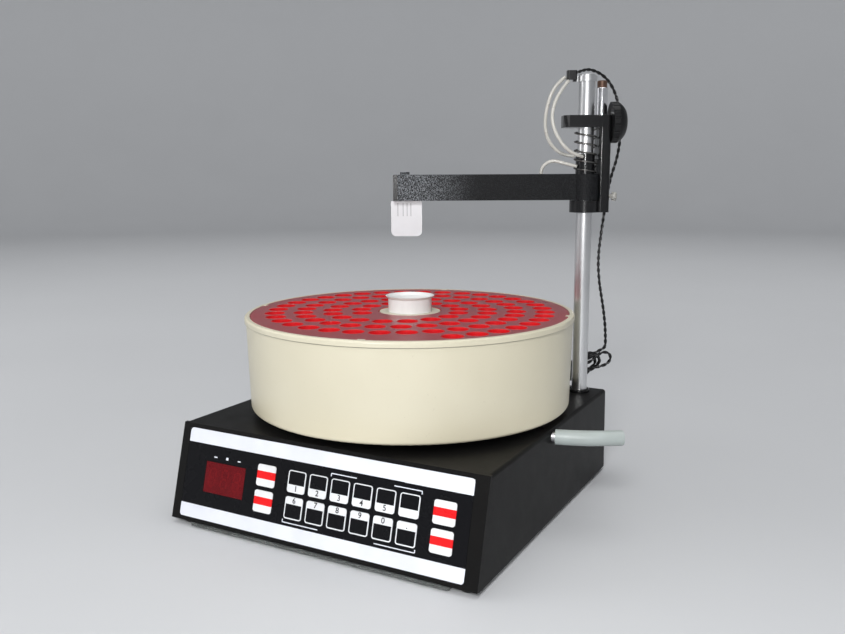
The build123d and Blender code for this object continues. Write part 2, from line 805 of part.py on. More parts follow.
# Bowl: a tapered round pan with a banded rim and a hollow column in the middle
column_wall = 3
cup_radius = 20
cup_wall = 1.2
cup_seat = 140
cup_gap = 0.3
bowl_inner_draft = 2.4
bowl_foot_radius = 3
rim_round = 1.8
lug_width = 6
lug_reach = 3.2
lug_height = 3
lug_first_angle = 14.5
lug_count = 4
column_top = rack_top - fit_gap
with BuildPart() as bowl:
    with BuildSketch(Plane(origin=(bowl_x, bowl_y, 0), x_dir=(1, 0, 0), z_dir=(0, -1, 0))):
        with BuildLine():
            Polyline(
                (hub_column_radius - column_wall, bowl_bottom),
                (bowl_wall_radius - bowl_draft, bowl_bottom),
                (bowl_wall_radius, rim_band_bottom),
                (bowl_radius, rim_band_bottom),
                (bowl_radius, bowl_top),
                (bowl_inner_radius, bowl_top),
                (bowl_inner_radius - bowl_inner_draft, bowl_bottom + bowl_floor),
                (hub_column_radius, bowl_bottom + bowl_floor),
                (hub_column_radius, column_top),
                (cup_radius + cup_gap, column_top),
                (cup_radius + cup_gap, cup_seat),
                (0, cup_seat),
                (0, cup_seat - column_wall),
                (hub_column_radius - column_wall, cup_seat - column_wall),
                close=True,
            )
        make_face()
    revolve(axis=Axis((bowl_x, bowl_y, 0), (0, 0, 1)))
    fillet(bowl.edges().filter_by(GeomType.CIRCLE).sort_by(SortBy.LENGTH)[-1], radius=rim_round)
    foot_edge = bowl.edges().filter_by(GeomType.CIRCLE).group_by(Axis.Z)[0].sort_by(SortBy.LENGTH)[-1]
    fillet(foot_edge, radius=bowl_foot_radius)
    with BuildSketch(bowl_level(bowl_top - lug_height)):
        with PolarLocations(bowl_inner_radius, lug_count, start_angle=lug_first_angle):
            Rectangle(2 * lug_reach, lug_width)
    extrude(amount=lug_height)
bowl.part.label = "bowl"
export_step(bowl.part, "parts/bowl.step")


def tube_places():
    """Places along a spiral of half circles, the front ones half a pitch to the side of the rear ones."""
    places = []
    angle = math.radians(track_start)
    front = True
    lap = 0
    for _ in range(tube_count):
        if front:
            radius = track_radius + track_pitch / 2 - lap * track_pitch
            aside = -track_pitch / 2
            half_end = 0
        else:
            radius = track_radius - lap * track_pitch
            aside = 0
            half_end = math.pi
        along = aside + radius * math.cos(angle)
        across = radius * math.sin(angle)
        places.append((along, across))
        angle += tube_spacing / radius
        if angle > half_end:
            past = (angle - half_end) * radius
            if front:
                next_radius = track_radius - lap * track_pitch
                angle = past / next_radius
            else:
                lap += 1
                next_radius = track_radius + track_pitch / 2 - lap * track_pitch
                angle = -math.pi + past / next_radius
            front = not front
    return places


def rack_level(height):
    turned = (math.cos(math.radians(track_turn)), math.sin(math.radians(track_turn)), 0)
    return Plane(origin=(bowl_x, bowl_y, height), x_dir=turned, z_dir=(0, 0, 1))


# Rack: a top plate with every tube hole, and a lower guide plate and floor plate joined by spacers
rack_radius = bowl_inner_radius - 2 * body_gap
rack_bore_radius = hub_column_radius + overrun
guide_height = 132
floor_height = bowl_bottom + bowl_floor + body_gap
spacer_radius = 3
spacer_angles = (40, 90, 140)
front_spacer_angles = (-45, -135)
spacer_track = track_radius - track_pitch / 2
lug_gap = 0.4
with BuildPart() as rack_top_plate:
    with BuildSketch(rack_level(rack_top - rack_top_thickness)):
        Circle(rack_radius)
        Circle(rack_bore_radius, mode=Mode.SUBTRACT)
        with Locations(*tube_places()):
            Circle(tube_bore_radius, mode=Mode.SUBTRACT)
    extrude(amount=rack_top_thickness)
    with BuildSketch(bowl_level(rack_top - rack_top_thickness)):
        with PolarLocations(bowl_inner_radius, lug_count, start_angle=lug_first_angle):
            Rectangle(2 * (lug_reach + lug_gap), lug_width + 2 * lug_gap)
    extrude(amount=rack_top_thickness, mode=Mode.SUBTRACT)
rack_top_plate.part.label = "rack_top_plate"
export_step(rack_top_plate.part, "parts/rack_top_plate.step")

spacer_places = []
for spacer_angle in spacer_angles:
    spacer_along = spacer_track * math.cos(math.radians(spacer_angle))
    spacer_across = spacer_track * math.sin(math.radians(spacer_angle))
    spacer_places.append((spacer_along, spacer_across))
for spacer_angle in front_spacer_angles:
    spacer_along = track_radius * math.cos(math.radians(spacer_angle)) - track_pitch / 2
    spacer_across = track_radius * math.sin(math.radians(spacer_angle))
    spacer_places.append((spacer_along, spacer_across))

with BuildPart() as rack_guide_plate:
    with BuildSketch(rack_level(guide_height)):
        Circle(rack_radius - bowl_inner_draft)
        Circle(rack_bore_radius, mode=Mode.SUBTRACT)
        with Locations(*tube_places()):
            Circle(tube_bore_radius, mode=Mode.SUBTRACT)
        with Locations(*spacer_places):
            Circle(spacer_radius + fit_gap, mode=Mode.SUBTRACT)
    extrude(amount=rack_plate_thickness)
rack_guide_plate.part.label = "rack_guide_plate"
export_step(rack_guide_plate.part, "parts/rack_guide_plate.step")

with BuildPart() as rack_floor_plate:
    with BuildSketch(rack_level(floor_height)):
        Circle(rack_radius - bowl_inner_draft)
        Circle(rack_bore_radius, mode=Mode.SUBTRACT)
    extrude(amount=rack_plate_thickness)
    with BuildSketch(rack_level(floor_height + rack_plate_thickness)):
        with Locations(*spacer_places):
            Circle(spacer_radius)
    extrude(amount=rack_top - rack_top_thickness - floor_height - rack_plate_thickness)
rack_floor_plate.part.label = "rack_floor_plate"
export_step(rack_floor_plate.part, "parts/rack_floor_plate.step")

# Centre cup with a short flared lip
cup_top = 187.8
cup_lip = 2.6
cup_flare = 2.4
with BuildPart() as centre_cup:
    with BuildSketch(Plane(origin=(bowl_x, bowl_y, 0), x_dir=(1, 0, 0), z_dir=(0, -1, 0))):
        with BuildLine():
            Polyline(
                (0, cup_seat),
                (cup_radius, cup_seat),
                (cup_radius, cup_top - cup_lip),
                (cup_radius + cup_flare, cup_top),
                (cup_radius + cup_flare - cup_wall, cup_top),
                (cup_radius - cup_wall, cup_top - cup_lip),
                (cup_radius - cup_wall, cup_seat + cup_wall),
                (0, cup_seat + cup_wall),
                close=True,
            )
        make_face()
    revolve(axis=Axis((bowl_x, bowl_y, 0), (0, 0, 1)))
centre_cup.part.label = "centre_cup"
export_step(centre_cup.part, "parts/centre_cup.step")

# Drive: a motor and its sleeve on a sprung swing bracket
sleeve_lift = 3
sleeve_height = 73
sleeve_radius = 16.5
sleeve_shaft_radius = 3
pivot_end_radius = 7
motor_radius = 16
motor_length = 42
bush_radius = 5.5
bush_height = 4
shaft_seat = 8
sleeve_bottom = case_top + sleeve_lift
with BuildPart() as swing_bracket:
    with BuildSketch(level(bracket_height)):
        with Locations((pivot_right, pivot_back)):
            Circle(pivot_end_radius)
        with Locations((sleeve_right, sleeve_back)):
            Circle(motor_radius)
        make_hull()
        with Locations((pivot_right, pivot_back)):
            Circle(pivot_radius + running_gap, mode=Mode.SUBTRACT)
    extrude(amount=bracket_thickness)
    with BuildSketch(level(bracket_height)):
        with Locations((sleeve_right, sleeve_back)):
            Circle(bush_radius)
    extrude(amount=bush_height)
    with BuildSketch(level(bracket_height)):
        with Locations((sleeve_right, sleeve_back)):
            Circle(sleeve_shaft_radius + running_gap)
    extrude(amount=2 * bush_height, mode=Mode.SUBTRACT)
swing_bracket.part.label = "swing_bracket"
export_step(swing_bracket.part, "parts/swing_bracket.step")

with BuildPart() as drive_motor:
    with BuildSketch(level(bracket_height)):
        with Locations((sleeve_right, sleeve_back)):
            Circle(motor_radius)
    extrude(amount=-motor_length)
    with BuildSketch(level(bracket_height)):
        with Locations((sleeve_right, sleeve_back)):
            Circle(sleeve_shaft_radius + running_gap)
    extrude(amount=-shaft_seat - body_gap, mode=Mode.SUBTRACT)
    fillet(drive_motor.edges().group_by(Axis.Z)[0], radius=pivot_radius)
drive_motor.part.label = "drive_motor"
export_step(drive_motor.part, "parts/drive_motor.step")

with BuildPart() as drive_sleeve:
    with BuildSketch(level(sleeve_bottom)):
        with Locations((sleeve_right, sleeve_back)):
            Circle(sleeve_radius)
    extrude(amount=sleeve_height)
    for ring_height in (low_ring_height, high_ring_height):
        with BuildSketch(level(ring_height - ring_width / 2)):
            with Locations((sleeve_right, sleeve_back)):
                Circle(sleeve_distance - body_gap - bowl_radius_at(ring_height))
        extrude(amount=ring_width)
    with BuildSketch(level(bracket_height - shaft_seat)):
        with Locations((sleeve_right, sleeve_back)):
            Circle(sleeve_shaft_radius)
    extrude(amount=sleeve_bottom - bracket_height + shaft_seat)
drive_sleeve.part.label = "drive_sleeve"
export_step(drive_sleeve.part, "parts/drive_sleeve.step")

# Screws through the rear panel
with BuildPart() as case_screws:
    with BuildSketch(rear_plane):
        with Locations((0, rear_panel_height / 2 + fit_gap)):
            with GridLocations(screw_width_apart, screw_height_apart, 2, 2):
                Circle(screw_head_radius)
    extrude(amount=screw_head)
    with BuildSketch(rear_plane.offset(screw_head)):
        with Locations((0, rear_panel_height / 2 + fit_gap)):
            with GridLocations(screw_width_apart, screw_height_apart, 2, 2):
                Rectangle(2 * screw_head_radius, screw_slot)
    extrude(amount=-screw_slot, mode=Mode.SUBTRACT)
    with BuildSketch(rear_plane):
        with Locations((0, rear_panel_height / 2 + fit_gap)):
            with GridLocations(screw_width_apart, screw_height_apart, 2, 2):
                Circle(screw_radius)
    extrude(amount=-screw_length)
case_screws.part.label = "case_screws"
export_step(case_screws.part, "parts/case_screws.step")

# Drain spigot and its hose
with BuildPart() as drain_spigot:
    with BuildSketch(drain_plane.offset(-spigot_inside)):
        Circle(spigot_radius)
        Circle(spigot_bore_radius, mode=Mode.SUBTRACT)
    extrude(amount=spigot_inside + spigot_outside)
drain_spigot.part.label = "drain_spigot"
export_step(drain_spigot.part, "parts/drain_spigot.step")

hose_start = drain_plane.from_local_coords((0, 0, hose_gap))
hose_plane = Plane(origin=hose_start, x_dir=drain_plane.z_dir, z_dir=(0, 0, 1))
with BuildPart() as drain_hose:
    with BuildLine(hose_plane):
        hose_path = JernArc(
            start=(0, 0), tangent=(1, 0), radius=hose_bend, arc_size=hose_last_angle - hose_first_angle
        )
    with BuildSketch(drain_plane.offset(hose_gap)):
        Circle(hose_radius)
        Circle(hose_bore_radius, mode=Mode.SUBTRACT)
    sweep(path=hose_path)
drain_hose.part.label = "drain_hose"
export_step(drain_hose.part, "parts/drain_hose.step")

# Post: a tube seated in its socket, with a cap on top and a grommet at the case
cap_thickness = 1.6
cap_plug = 10
collar_radius = 10
collar_height = 3.5
with BuildPart() as post:
    with BuildSketch(level(tray_top)):
        with Locations((post_right, post_back)):
            Circle(post_radius)
            Circle(post_radius - post_wall, mode=Mode.SUBTRACT)
    extrude(amount=post_top - tray_top)
post.part.label = "post"
export_step(post.part, "parts/post.step")

with BuildPart() as post_cap:
    with BuildSketch(head_level(post_top)):
        Circle(post_radius)
    extrude(amount=cap_thickness)
    with BuildSketch(head_level(post_top)):
        Circle(post_radius - post_wall - running_gap)
    extrude(amount=-cap_plug)
    fillet(post_cap.edges().group_by(Axis.Z)[-1], radius=cap_thickness / 2)
post_cap.part.label = "post_cap"
export_step(post_cap.part, "parts/post_cap.step")

with BuildPart() as post_collar:
    with BuildSketch(head_level(case_top)):
        Circle(collar_radius)
        Circle(post_radius + post_bore_gap, mode=Mode.SUBTRACT)
    extrude(amount=collar_height)
    fillet(post_collar.edges().group_by(Axis.Z)[-1].sort_by(SortBy.LENGTH)[-1], radius=post_wall)
post_collar.part.label = "post_collar"
export_step(post_collar.part, "parts/post_collar.step")

# Carrier: a collar and an upper tab on the post, joined by a spine that holds the arm motor
carrier_collar_radius = 13.9
carrier_collar_height = 11.3
spine_inner = 11.2
spine_outer = 22.4
spine_front = 9
spine_rear = 17.5
tab_left = 22.4
tab_right = 14.5
tab_half = 11.5
tab_corner = 5
hub_relief_radius = 16.2
spring_relief_radius = 11.5
relief_top = 310.8
motor_axis_out = 16.3
motor_axis_behind = 10.4
gear_module = 0.8
hub_teeth = 38
pinion_teeth = 10
pinion_bottom = 273.4
pinion_height = 19.5
pocket_gap = 0.6
pocket_radius = gear_module * (pinion_teeth / 2 + 1) + pocket_gap
motor_shaft_radius = 1.25
shaft_channel_radius = 2.2
arm_motor_radius = 5.3
arm_motor_bottom = 334
arm_motor_top = 377.5
motor_cap_top = 384
motor_cap_radius = 4.6
motor_shaft_seat = 6
knob_behind = -1
knob_height = 344.6
knob_screw_radius = 2.5
carrier_top = tab_bottom + tab_thickness
collar_top = collar_bottom + carrier_collar_height
knob_centre = at_post(0, knob_behind, knob_height)
knob_plane = Plane(origin=knob_centre, x_dir=(0, 0, 1), z_dir=(head_cos, head_sin, 0))
with BuildPart() as carrier:
    with BuildSketch(head_level(tab_bottom)):
        with BuildLine():
            Polyline(
                (tab_right, -tab_half),
                (tab_right, tab_half),
                (tab_corner - tab_left, tab_half),
                (-tab_left, tab_half - tab_corner),
                (-tab_left, tab_corner - tab_half),
                (tab_corner - tab_left, -tab_half),
                close=True,
            )
        make_face()
    extrude(amount=tab_thickness)
    with BuildSketch(head_level(collar_bottom)):
        with Locations(((spine_inner + spine_outer) / 2, (spine_rear - spine_front) / 2)):
            RectangleRounded(spine_outer - spine_inner, spine_front + spine_rear, 2 * post_wall)
    extrude(amount=carrier_top - collar_bottom)
    with BuildSketch(head_level(collar_bottom)):
        Circle(carrier_collar_radius)
    extrude(amount=carrier_collar_height)
    with BuildSketch(head_level(collar_bottom)):
        Circle(post_radius + running_gap)
    extrude(amount=carrier_top - collar_bottom, mode=Mode.SUBTRACT)
    with BuildSketch(head_level(collar_top)):
        Circle(hub_relief_radius)
    extrude(amount=relief_top - collar_top, mode=Mode.SUBTRACT)
    with BuildSketch(head_level(collar_top)):
        Circle(spring_relief_radius)
    extrude(amount=tab_bottom - collar_top, mode=Mode.SUBTRACT)
    with BuildSketch(head_level(collar_top)):
        with Locations((motor_axis_out, motor_axis_behind)):
            Circle(pocket_radius)
    extrude(amount=pinion_bottom + pinion_height + pocket_gap - collar_top, mode=Mode.SUBTRACT)
    with BuildSketch(head_level(collar_top)):
        with Locations((motor_axis_out, motor_axis_behind)):
            Circle(shaft_channel_radius)
    extrude(amount=arm_motor_bottom - collar_top, mode=Mode.SUBTRACT)
    with BuildSketch(head_level(arm_motor_bottom)):
        with Locations((motor_axis_out, motor_axis_behind)):
            Circle(arm_motor_radius + running_gap)
    extrude(amount=carrier_top - arm_motor_bottom, mode=Mode.SUBTRACT)
    with BuildSketch(knob_plane):
        Circle(knob_screw_radius + running_gap)
    extrude(amount=2 * spine_outer, mode=Mode.SUBTRACT)
carrier.part.label = "carrier"
export_step(carrier.part, "parts/carrier.step")

# Arm motor in the spine's pocket
with BuildPart() as arm_motor:
    with BuildSketch(head_level(arm_motor_bottom)):
        with Locations((motor_axis_out, motor_axis_behind)):
            Circle(arm_motor_radius)
    extrude(amount=arm_motor_top - arm_motor_bottom)
    chamfer(arm_motor.edges().group_by(Axis.Z)[-1], length=pocket_gap)
    with BuildSketch(head_level(arm_motor_top)):
        with Locations((motor_axis_out, motor_axis_behind)):
            Circle(motor_cap_radius)
    extrude(amount=motor_cap_top - arm_motor_top)
    fillet(arm_motor.edges().group_by(Axis.Z)[-1], radius=2 * pocket_gap)
    with BuildSketch(head_level(arm_motor_bottom)):
        with Locations((motor_axis_out, motor_axis_behind)):
            Circle(motor_shaft_radius + running_gap)
    extrude(amount=motor_shaft_seat + body_gap, mode=Mode.SUBTRACT)
arm_motor.part.label = "arm_motor"
export_step(arm_motor.part, "parts/arm_motor.step")

# Gear teeth as shares of the tooth pitch and of the module
tooth_half_width_shares = (0.3, 0.24, 0.1)
tooth_depth_shares = (-1.15, 0, 0.8)


def gear_outline(teeth, first_angle):
    """Points round a gear with straight sided teeth, one tooth centred on the first angle."""
    points = []
    for tooth in range(teeth):
        middle = first_angle + 2 * math.pi * tooth / teeth
        left_side = []
        right_side = []
        for width_share, depth_share in zip(tooth_half_width_shares, tooth_depth_shares):
            radius = gear_module * (teeth / 2 + depth_share)
            right = middle - 2 * math.pi * width_share / teeth
            left = middle + 2 * math.pi * width_share / teeth
            right_side.append((radius * math.cos(right), radius * math.sin(right)))
            left_side.insert(0, (radius * math.cos(left), radius * math.sin(left)))
        points.extend(right_side)
        points.extend(left_side)
    return points


mesh_angle = math.atan2(motor_axis_behind, motor_axis_out)
hub_first_angle = mesh_angle + math.pi / hub_teeth
pinion_first_angle = mesh_angle + math.pi
with BuildPart() as arm_pinion:
    with BuildSketch(head_level(pinion_bottom)):
        with BuildLine(Plane(origin=(motor_axis_out, motor_axis_behind, 0))):
            Polyline(*gear_outline(pinion_teeth, pinion_first_angle), close=True)
        make_face()
    extrude(amount=pinion_height)
    with BuildSketch(head_level(pinion_bottom)):
        with Locations((motor_axis_out, motor_axis_behind)):
            Circle(motor_shaft_radius)
    extrude(amount=arm_motor_bottom + motor_shaft_seat - pinion_bottom)
arm_pinion.part.label = "arm_pinion"
export_step(arm_pinion.part, "parts/arm_pinion.step")

# Arm sleeve: slides up the post with the arm resting on its flange
sleeve_outer_radius = 8.9
sleeve_flange_radius = 12
sleeve_flange = 1.2
sleeve_top_height = 315.7
flange_bottom = collar_top + body_gap
with BuildPart() as arm_sleeve:
    with BuildSketch(head_level(flange_bottom)):
        Circle(sleeve_outer_radius)
    extrude(amount=sleeve_top_height - flange_bottom)
    with BuildSketch(head_level(flange_bottom)):
        Circle(sleeve_flange_radius)
    extrude(amount=sleeve_flange)
    with BuildSketch(head_level(flange_bottom)):
        Circle(post_radius + body_gap)
    extrude(amount=sleeve_top_height - flange_bottom, mode=Mode.SUBTRACT)
arm_sleeve.part.label = "arm_sleeve"
export_step(arm_sleeve.part, "parts/arm_sleeve.step")

# Lift spring between the arm and the tab
spring_radius = 10.1
spring_wire = 1.6
spring_half_turns = 10
arm_top = arm_bottom + arm_height
spring_bottom = arm_top + body_gap + spring_wire / 2
spring_height = tab_bottom - body_gap - spring_wire / 2 - spring_bottom


def spring_place(half_turn):
    """Point and heading of the spring's wire after so many half turns."""
    angle = math.pi * half_turn
    rise = spring_height / (math.pi * spring_half_turns)
    point = at_post(
        spring_radius * math.cos(angle),
        spring_radius * math.sin(angle),
        spring_bottom + spring_height * half_turn / spring_half_turns,
    )
    ahead = at_post(-spring_radius * math.sin(angle), spring_radius * math.cos(angle), rise)
    heading = Vector(*ahead) - Vector(post_x, post_y, 0)
    return Vector(*point), heading.normalized()


def least_gap(name, paths, diameter):
    """Least gap between parts of a tube that lie more than a few diameters apart along it."""
    samples = []
    travelled = 0
    for path in paths:
        count = int(path.length / (diameter / 2)) + 1
        for step in range(count + 1):
            samples.append((travelled + path.length * step / count, path @ (step / count)))
        travelled += path.length
    gaps = [
        (here - there).length - diameter
        for number, (near, here) in enumerate(samples)
        for far, there in samples[number + 1:]
        if far - near > 4 * diameter
    ]
    print(name, "least gap to itself", round(min(gaps), 2), "tube length", round(travelled, 1))


with BuildPart() as lift_spring:
    with BuildLine() as spring_line:
        for half_turn in range(spring_half_turns):
            arc_start, start_heading = spring_place(half_turn)
            arc_end, end_heading = spring_place(half_turn + 1)
            chord = arc_end - arc_start
            along = chord.dot(start_heading + end_heading)
            spread = 2 * (1 - start_heading.dot(end_heading))
            reach = (math.sqrt(along**2 + spread * chord.dot(chord)) - along) / spread
            middle = (arc_start + arc_end + (start_heading - end_heading) * reach) / 2
            first_arc = TangentArc(arc_start, middle, tangent=start_heading)
            TangentArc(middle, arc_end, tangent=first_arc % 1)
    spring_path = spring_line.wires()[0]
    with BuildSketch(Plane(origin=spring_path @ 0, z_dir=spring_path % 0)):
        Circle(spring_wire / 2)
    sweep(path=spring_path)
lift_spring.part.label = "lift_spring"
export_step(lift_spring.part, "parts/lift_spring.step")
least_gap("lift spring", [spring_path], spring_wire)

# Arm: a round hub and a bar that is hollow from below
arm_wall = 2.2
end_cap_thickness = 4
channel_end_wall = 2
arm_tip = arm_reach - end_cap_thickness
channel_end = arm_tip - channel_end_wall
channel_start = 18
hub_bore_gap = 0.05
flange_pocket_gap = 0.3
gear_bottom = 274.4
gear_height = 5
gear_cut = 6
tubing_inset = 33
tubing_out = arm_reach - tubing_inset
tubing_bore_radius = 2
tubing_boss_radius = 4.5
tubing_boss_height = 12
bump_inset = 11
bump_out = arm_reach - bump_inset
bump_radius = 4.5
bump_height = 2.4
hinge_height = 276
hinge_pin_radius = 1.5
plate_inset = 27.1
plate_right = arm_reach - plate_inset
rib_thickness = 2.5
arm_edge_radius = 1
with BuildPart() as arm:
    with BuildSketch(head_level(arm_bottom)):
        Circle(hub_radius)
        with Locations((-arm_tip / 2, 0)):
            Rectangle(arm_tip, arm_width)
    extrude(amount=arm_height)
    fillet(arm.faces().sort_by(Axis.Z)[-1].edges(), radius=arm_edge_radius)
    with BuildSketch(head_level(arm_bottom)):
        with Locations((-(channel_start + channel_end) / 2, 0)):
            Rectangle(channel_end - channel_start, arm_width - 2 * arm_wall)
    extrude(amount=arm_height - arm_wall, mode=Mode.SUBTRACT)
    with BuildSketch(head_level(gear_bottom)):
        with BuildLine():
            Polyline(*gear_outline(hub_teeth, hub_first_angle), close=True)
        make_face()
        with Locations((-2 * hub_radius - gear_cut, 0), (0, -2 * hub_radius - gear_cut / 2)):
            Rectangle(4 * hub_radius, 4 * hub_radius, mode=Mode.SUBTRACT)
    extrude(amount=gear_height)
    with BuildSketch(head_level(arm_bottom)):
        Circle(sleeve_outer_radius + hub_bore_gap)
    extrude(amount=arm_height, mode=Mode.SUBTRACT)
    with BuildSketch(head_level(arm_bottom)):
        Circle(sleeve_flange_radius + flange_pocket_gap)
    extrude(amount=flange_bottom + sleeve_flange + running_gap - arm_bottom, mode=Mode.SUBTRACT)
    with BuildSketch(head_level(arm_top - tubing_boss_height)):
        with Locations((-tubing_out, 0)):
            Circle(tubing_boss_radius)
    extrude(amount=tubing_boss_height)
    with BuildSketch(head_level(arm_bottom)):
        with Locations((-tubing_out, 0)):
            Circle(tubing_bore_radius)
    extrude(amount=2 * arm_height, mode=Mode.SUBTRACT)
    with BuildSketch(head_level(arm_top)):
        with Locations((-bump_out, 0)):
            Circle(bump_radius)
    extrude(amount=bump_height)
    with BuildSketch(head_level(arm_bottom + arm_wall)):
        with Locations((-plate_right + rib_thickness, 0)):
            Rectangle(rib_thickness, arm_width - arm_wall)
    extrude(amount=arm_height - 2 * arm_wall)
    hinge_start = at_post(-plate_right + rib_thickness, 0, hinge_height)
    hinge_side = Plane(origin=hinge_start, z_dir=(-head_cos, -head_sin, 0))
    with BuildSketch(hinge_side):
        Circle(hinge_pin_radius)
    extrude(amount=channel_end - plate_right + rib_thickness + overrun)
arm.part.label = "arm"
export_step(arm.part, "parts/arm.step")

with BuildPart() as arm_end_cap:
    with BuildSketch(head_level(arm_bottom)):
        with Locations((-(arm_tip + arm_reach) / 2, 0)):
            Rectangle(arm_reach - arm_tip, arm_width)
    extrude(amount=arm_height)
    fillet(arm_end_cap.faces().sort_by(Axis.Z)[-1].edges(), radius=arm_edge_radius)
arm_end_cap.part.label = "arm_end_cap"
export_step(arm_end_cap.part, "parts/arm_end_cap.step")

# Sensor plate: swings on a pin in the arm's channel, with four shallow grooves at its outer end
plate_past_arm = 2.4
plate_left = arm_reach + plate_past_arm
plate_bottom = 239
plate_thickness = 4
plate_corner = 5
tongue_inset = 7.5
tongue_width = 18
tongue_left = arm_reach - tongue_inset
tongue_right = tongue_left - tongue_width
tongue_top = 280
groove_width = 1.2
groove_depth = 0.6
groove_bottom = 258
groove_top = 271
groove_shares = (0.22, 0.39, 0.52, 0.64)
plate_front = Plane(
    origin=at_post(0, -plate_thickness / 2, 0),
    x_dir=(head_cos, head_sin, 0),
    z_dir=(head_sin, -head_cos, 0),
)
plate_shoulder = arm_bottom - 2 * body_gap
with BuildPart() as sensor_plate:
    with BuildSketch(plate_front):
        with Locations((-(plate_left + plate_right) / 2, (plate_bottom + plate_shoulder) / 2)):
            Rectangle(plate_left - plate_right, plate_shoulder - plate_bottom)
        with Locations((-(tongue_left + tongue_right) / 2, (plate_shoulder + tongue_top) / 2)):
            Rectangle(tongue_left - tongue_right, tongue_top - plate_shoulder)
    extrude(amount=-plate_thickness)
    low_edges = sensor_plate.edges().filter_by(lambda edge: edge.center().Z < groove_bottom)
    corner_edges = low_edges.filter_by(lambda edge: abs(edge.length - plate_thickness) < running_gap)
    fillet(corner_edges, radius=plate_corner)
    with BuildSketch(plate_front):
        for groove_share in groove_shares:
            groove_out = plate_left - groove_share * (plate_left - plate_right)
            with Locations((-groove_out, (groove_bottom + groove_top) / 2)):
                Rectangle(groove_width, groove_top - groove_bottom)
    extrude(amount=-groove_depth, mode=Mode.SUBTRACT)
    with BuildSketch(Plane(origin=at_post(-tongue_right, 0, hinge_height), z_dir=(-head_cos, -head_sin, 0))):
        Circle(2 * hinge_pin_radius)
    extrude(amount=tongue_left - tongue_right)
    with BuildSketch(hinge_side):
        Circle(hinge_pin_radius + running_gap)
    extrude(amount=channel_end - plate_right + 2 * rib_thickness, mode=Mode.SUBTRACT)
sensor_plate.part.label = "sensor_plate"
export_step(sensor_plate.part, "parts/sensor_plate.step")

# Lock knob: a domed grip, and the screw in it that bears on the post
knob_radius = 19
knob_inner = 22.7
knob_grip = 28.5
knob_outer = 36.8
knob_crown_radius = 9
knob_flutes = 18
knob_flute_radius = 1.4
knob_flute_bite = 0.7
knob_screw_seat = 5
with BuildPart() as lock_knob:
    with BuildSketch(Plane(origin=knob_plane.origin, x_dir=(0, 0, 1), z_dir=(-head_sin, head_cos, 0))):
        with BuildLine():
            Line((0, knob_inner), (knob_radius, knob_inner))
            Line((knob_radius, knob_inner), (knob_radius, knob_grip))
            crown_middle = (knob_radius + knob_crown_radius) / 2 + knob_flute_radius
            ThreePointArc(
                (knob_radius, knob_grip),
                (crown_middle, (knob_grip + knob_outer) / 2 + knob_flute_bite),
                (knob_crown_radius, knob_outer),
            )
            Line((knob_crown_radius, knob_outer), (0, knob_outer))
            Line((0, knob_outer), (0, knob_inner))
        make_face()
    revolve(axis=Axis(knob_plane.origin, knob_plane.z_dir))
    with BuildSketch(knob_plane.offset(knob_inner)):
        with PolarLocations(knob_radius + knob_flute_radius - knob_flute_bite, knob_flutes):
            Circle(knob_flute_radius)
    extrude(amount=knob_grip - knob_inner, mode=Mode.SUBTRACT)
    with BuildSketch(knob_plane.offset(knob_inner)):
        Circle(knob_screw_radius + running_gap)
    extrude(amount=knob_screw_seat, mode=Mode.SUBTRACT)
    with BuildSketch(knob_plane.offset(post_radius + body_gap)):
        Circle(knob_screw_radius)
    extrude(amount=knob_inner + knob_screw_seat - running_gap - post_radius - body_gap)
lock_knob.part.label = "lock_knob"
export_step(lock_knob.part, "parts/lock_knob.step")

# Cable clip: a strap round the post with a small block for the leads
clip_left = 19
clip_right = 10
clip_bottom = 384
clip_top = 392
clip_half = 4.5
strap_bottom = 382
strap_height = 5
strap_radius = 9.2
with BuildPart() as cable_clip:
    with BuildSketch(head_level(strap_bottom)):
        Circle(strap_radius)
        with Locations((-(strap_radius + clip_right) / 2, 0)):
            Rectangle(clip_right - post_radius + body_gap + clip_half, clip_half)
        Circle(post_radius, mode=Mode.SUBTRACT)
    extrude(amount=strap_height)
    with BuildSketch(head_level(clip_bottom)):
        with Locations((-(clip_left + clip_right) / 2, 0)):
            RectangleRounded(clip_left - clip_right, 2 * clip_half, post_wall)
    extrude(amount=clip_top - clip_bottom)
cable_clip.part.label = "cable_clip"
export_step(cable_clip.part, "parts/cable_clip.step")


def route_radii(name, points, diameter, limp):
    """Radius for each corner of a cord's route, as large as its two runs allow."""
    radii = []
    for before, here, after in zip(points, points[1:], points[2:]):
        run_in = Vector(*here) - Vector(*before)
        run_out = Vector(*after) - Vector(*here)
        turn = math.radians(run_in.get_angle(run_out))
        radii.append(reach_share * min(run_in.length, run_out.length) / math.tan(turn / 2))
    least = diameter * (3 if limp else 5)
    total = sum((Vector(*b) - Vector(*a)).length for a, b in zip(points, points[1:]))
    tight = [round(radius, 1) for radius in radii if radius < least]
    print(name, "radii", [round(radius, 1) for radius in radii])
    print(name, "under the least", tight, "route length", round(total, 1))
    return radii


reach_share = 0.45

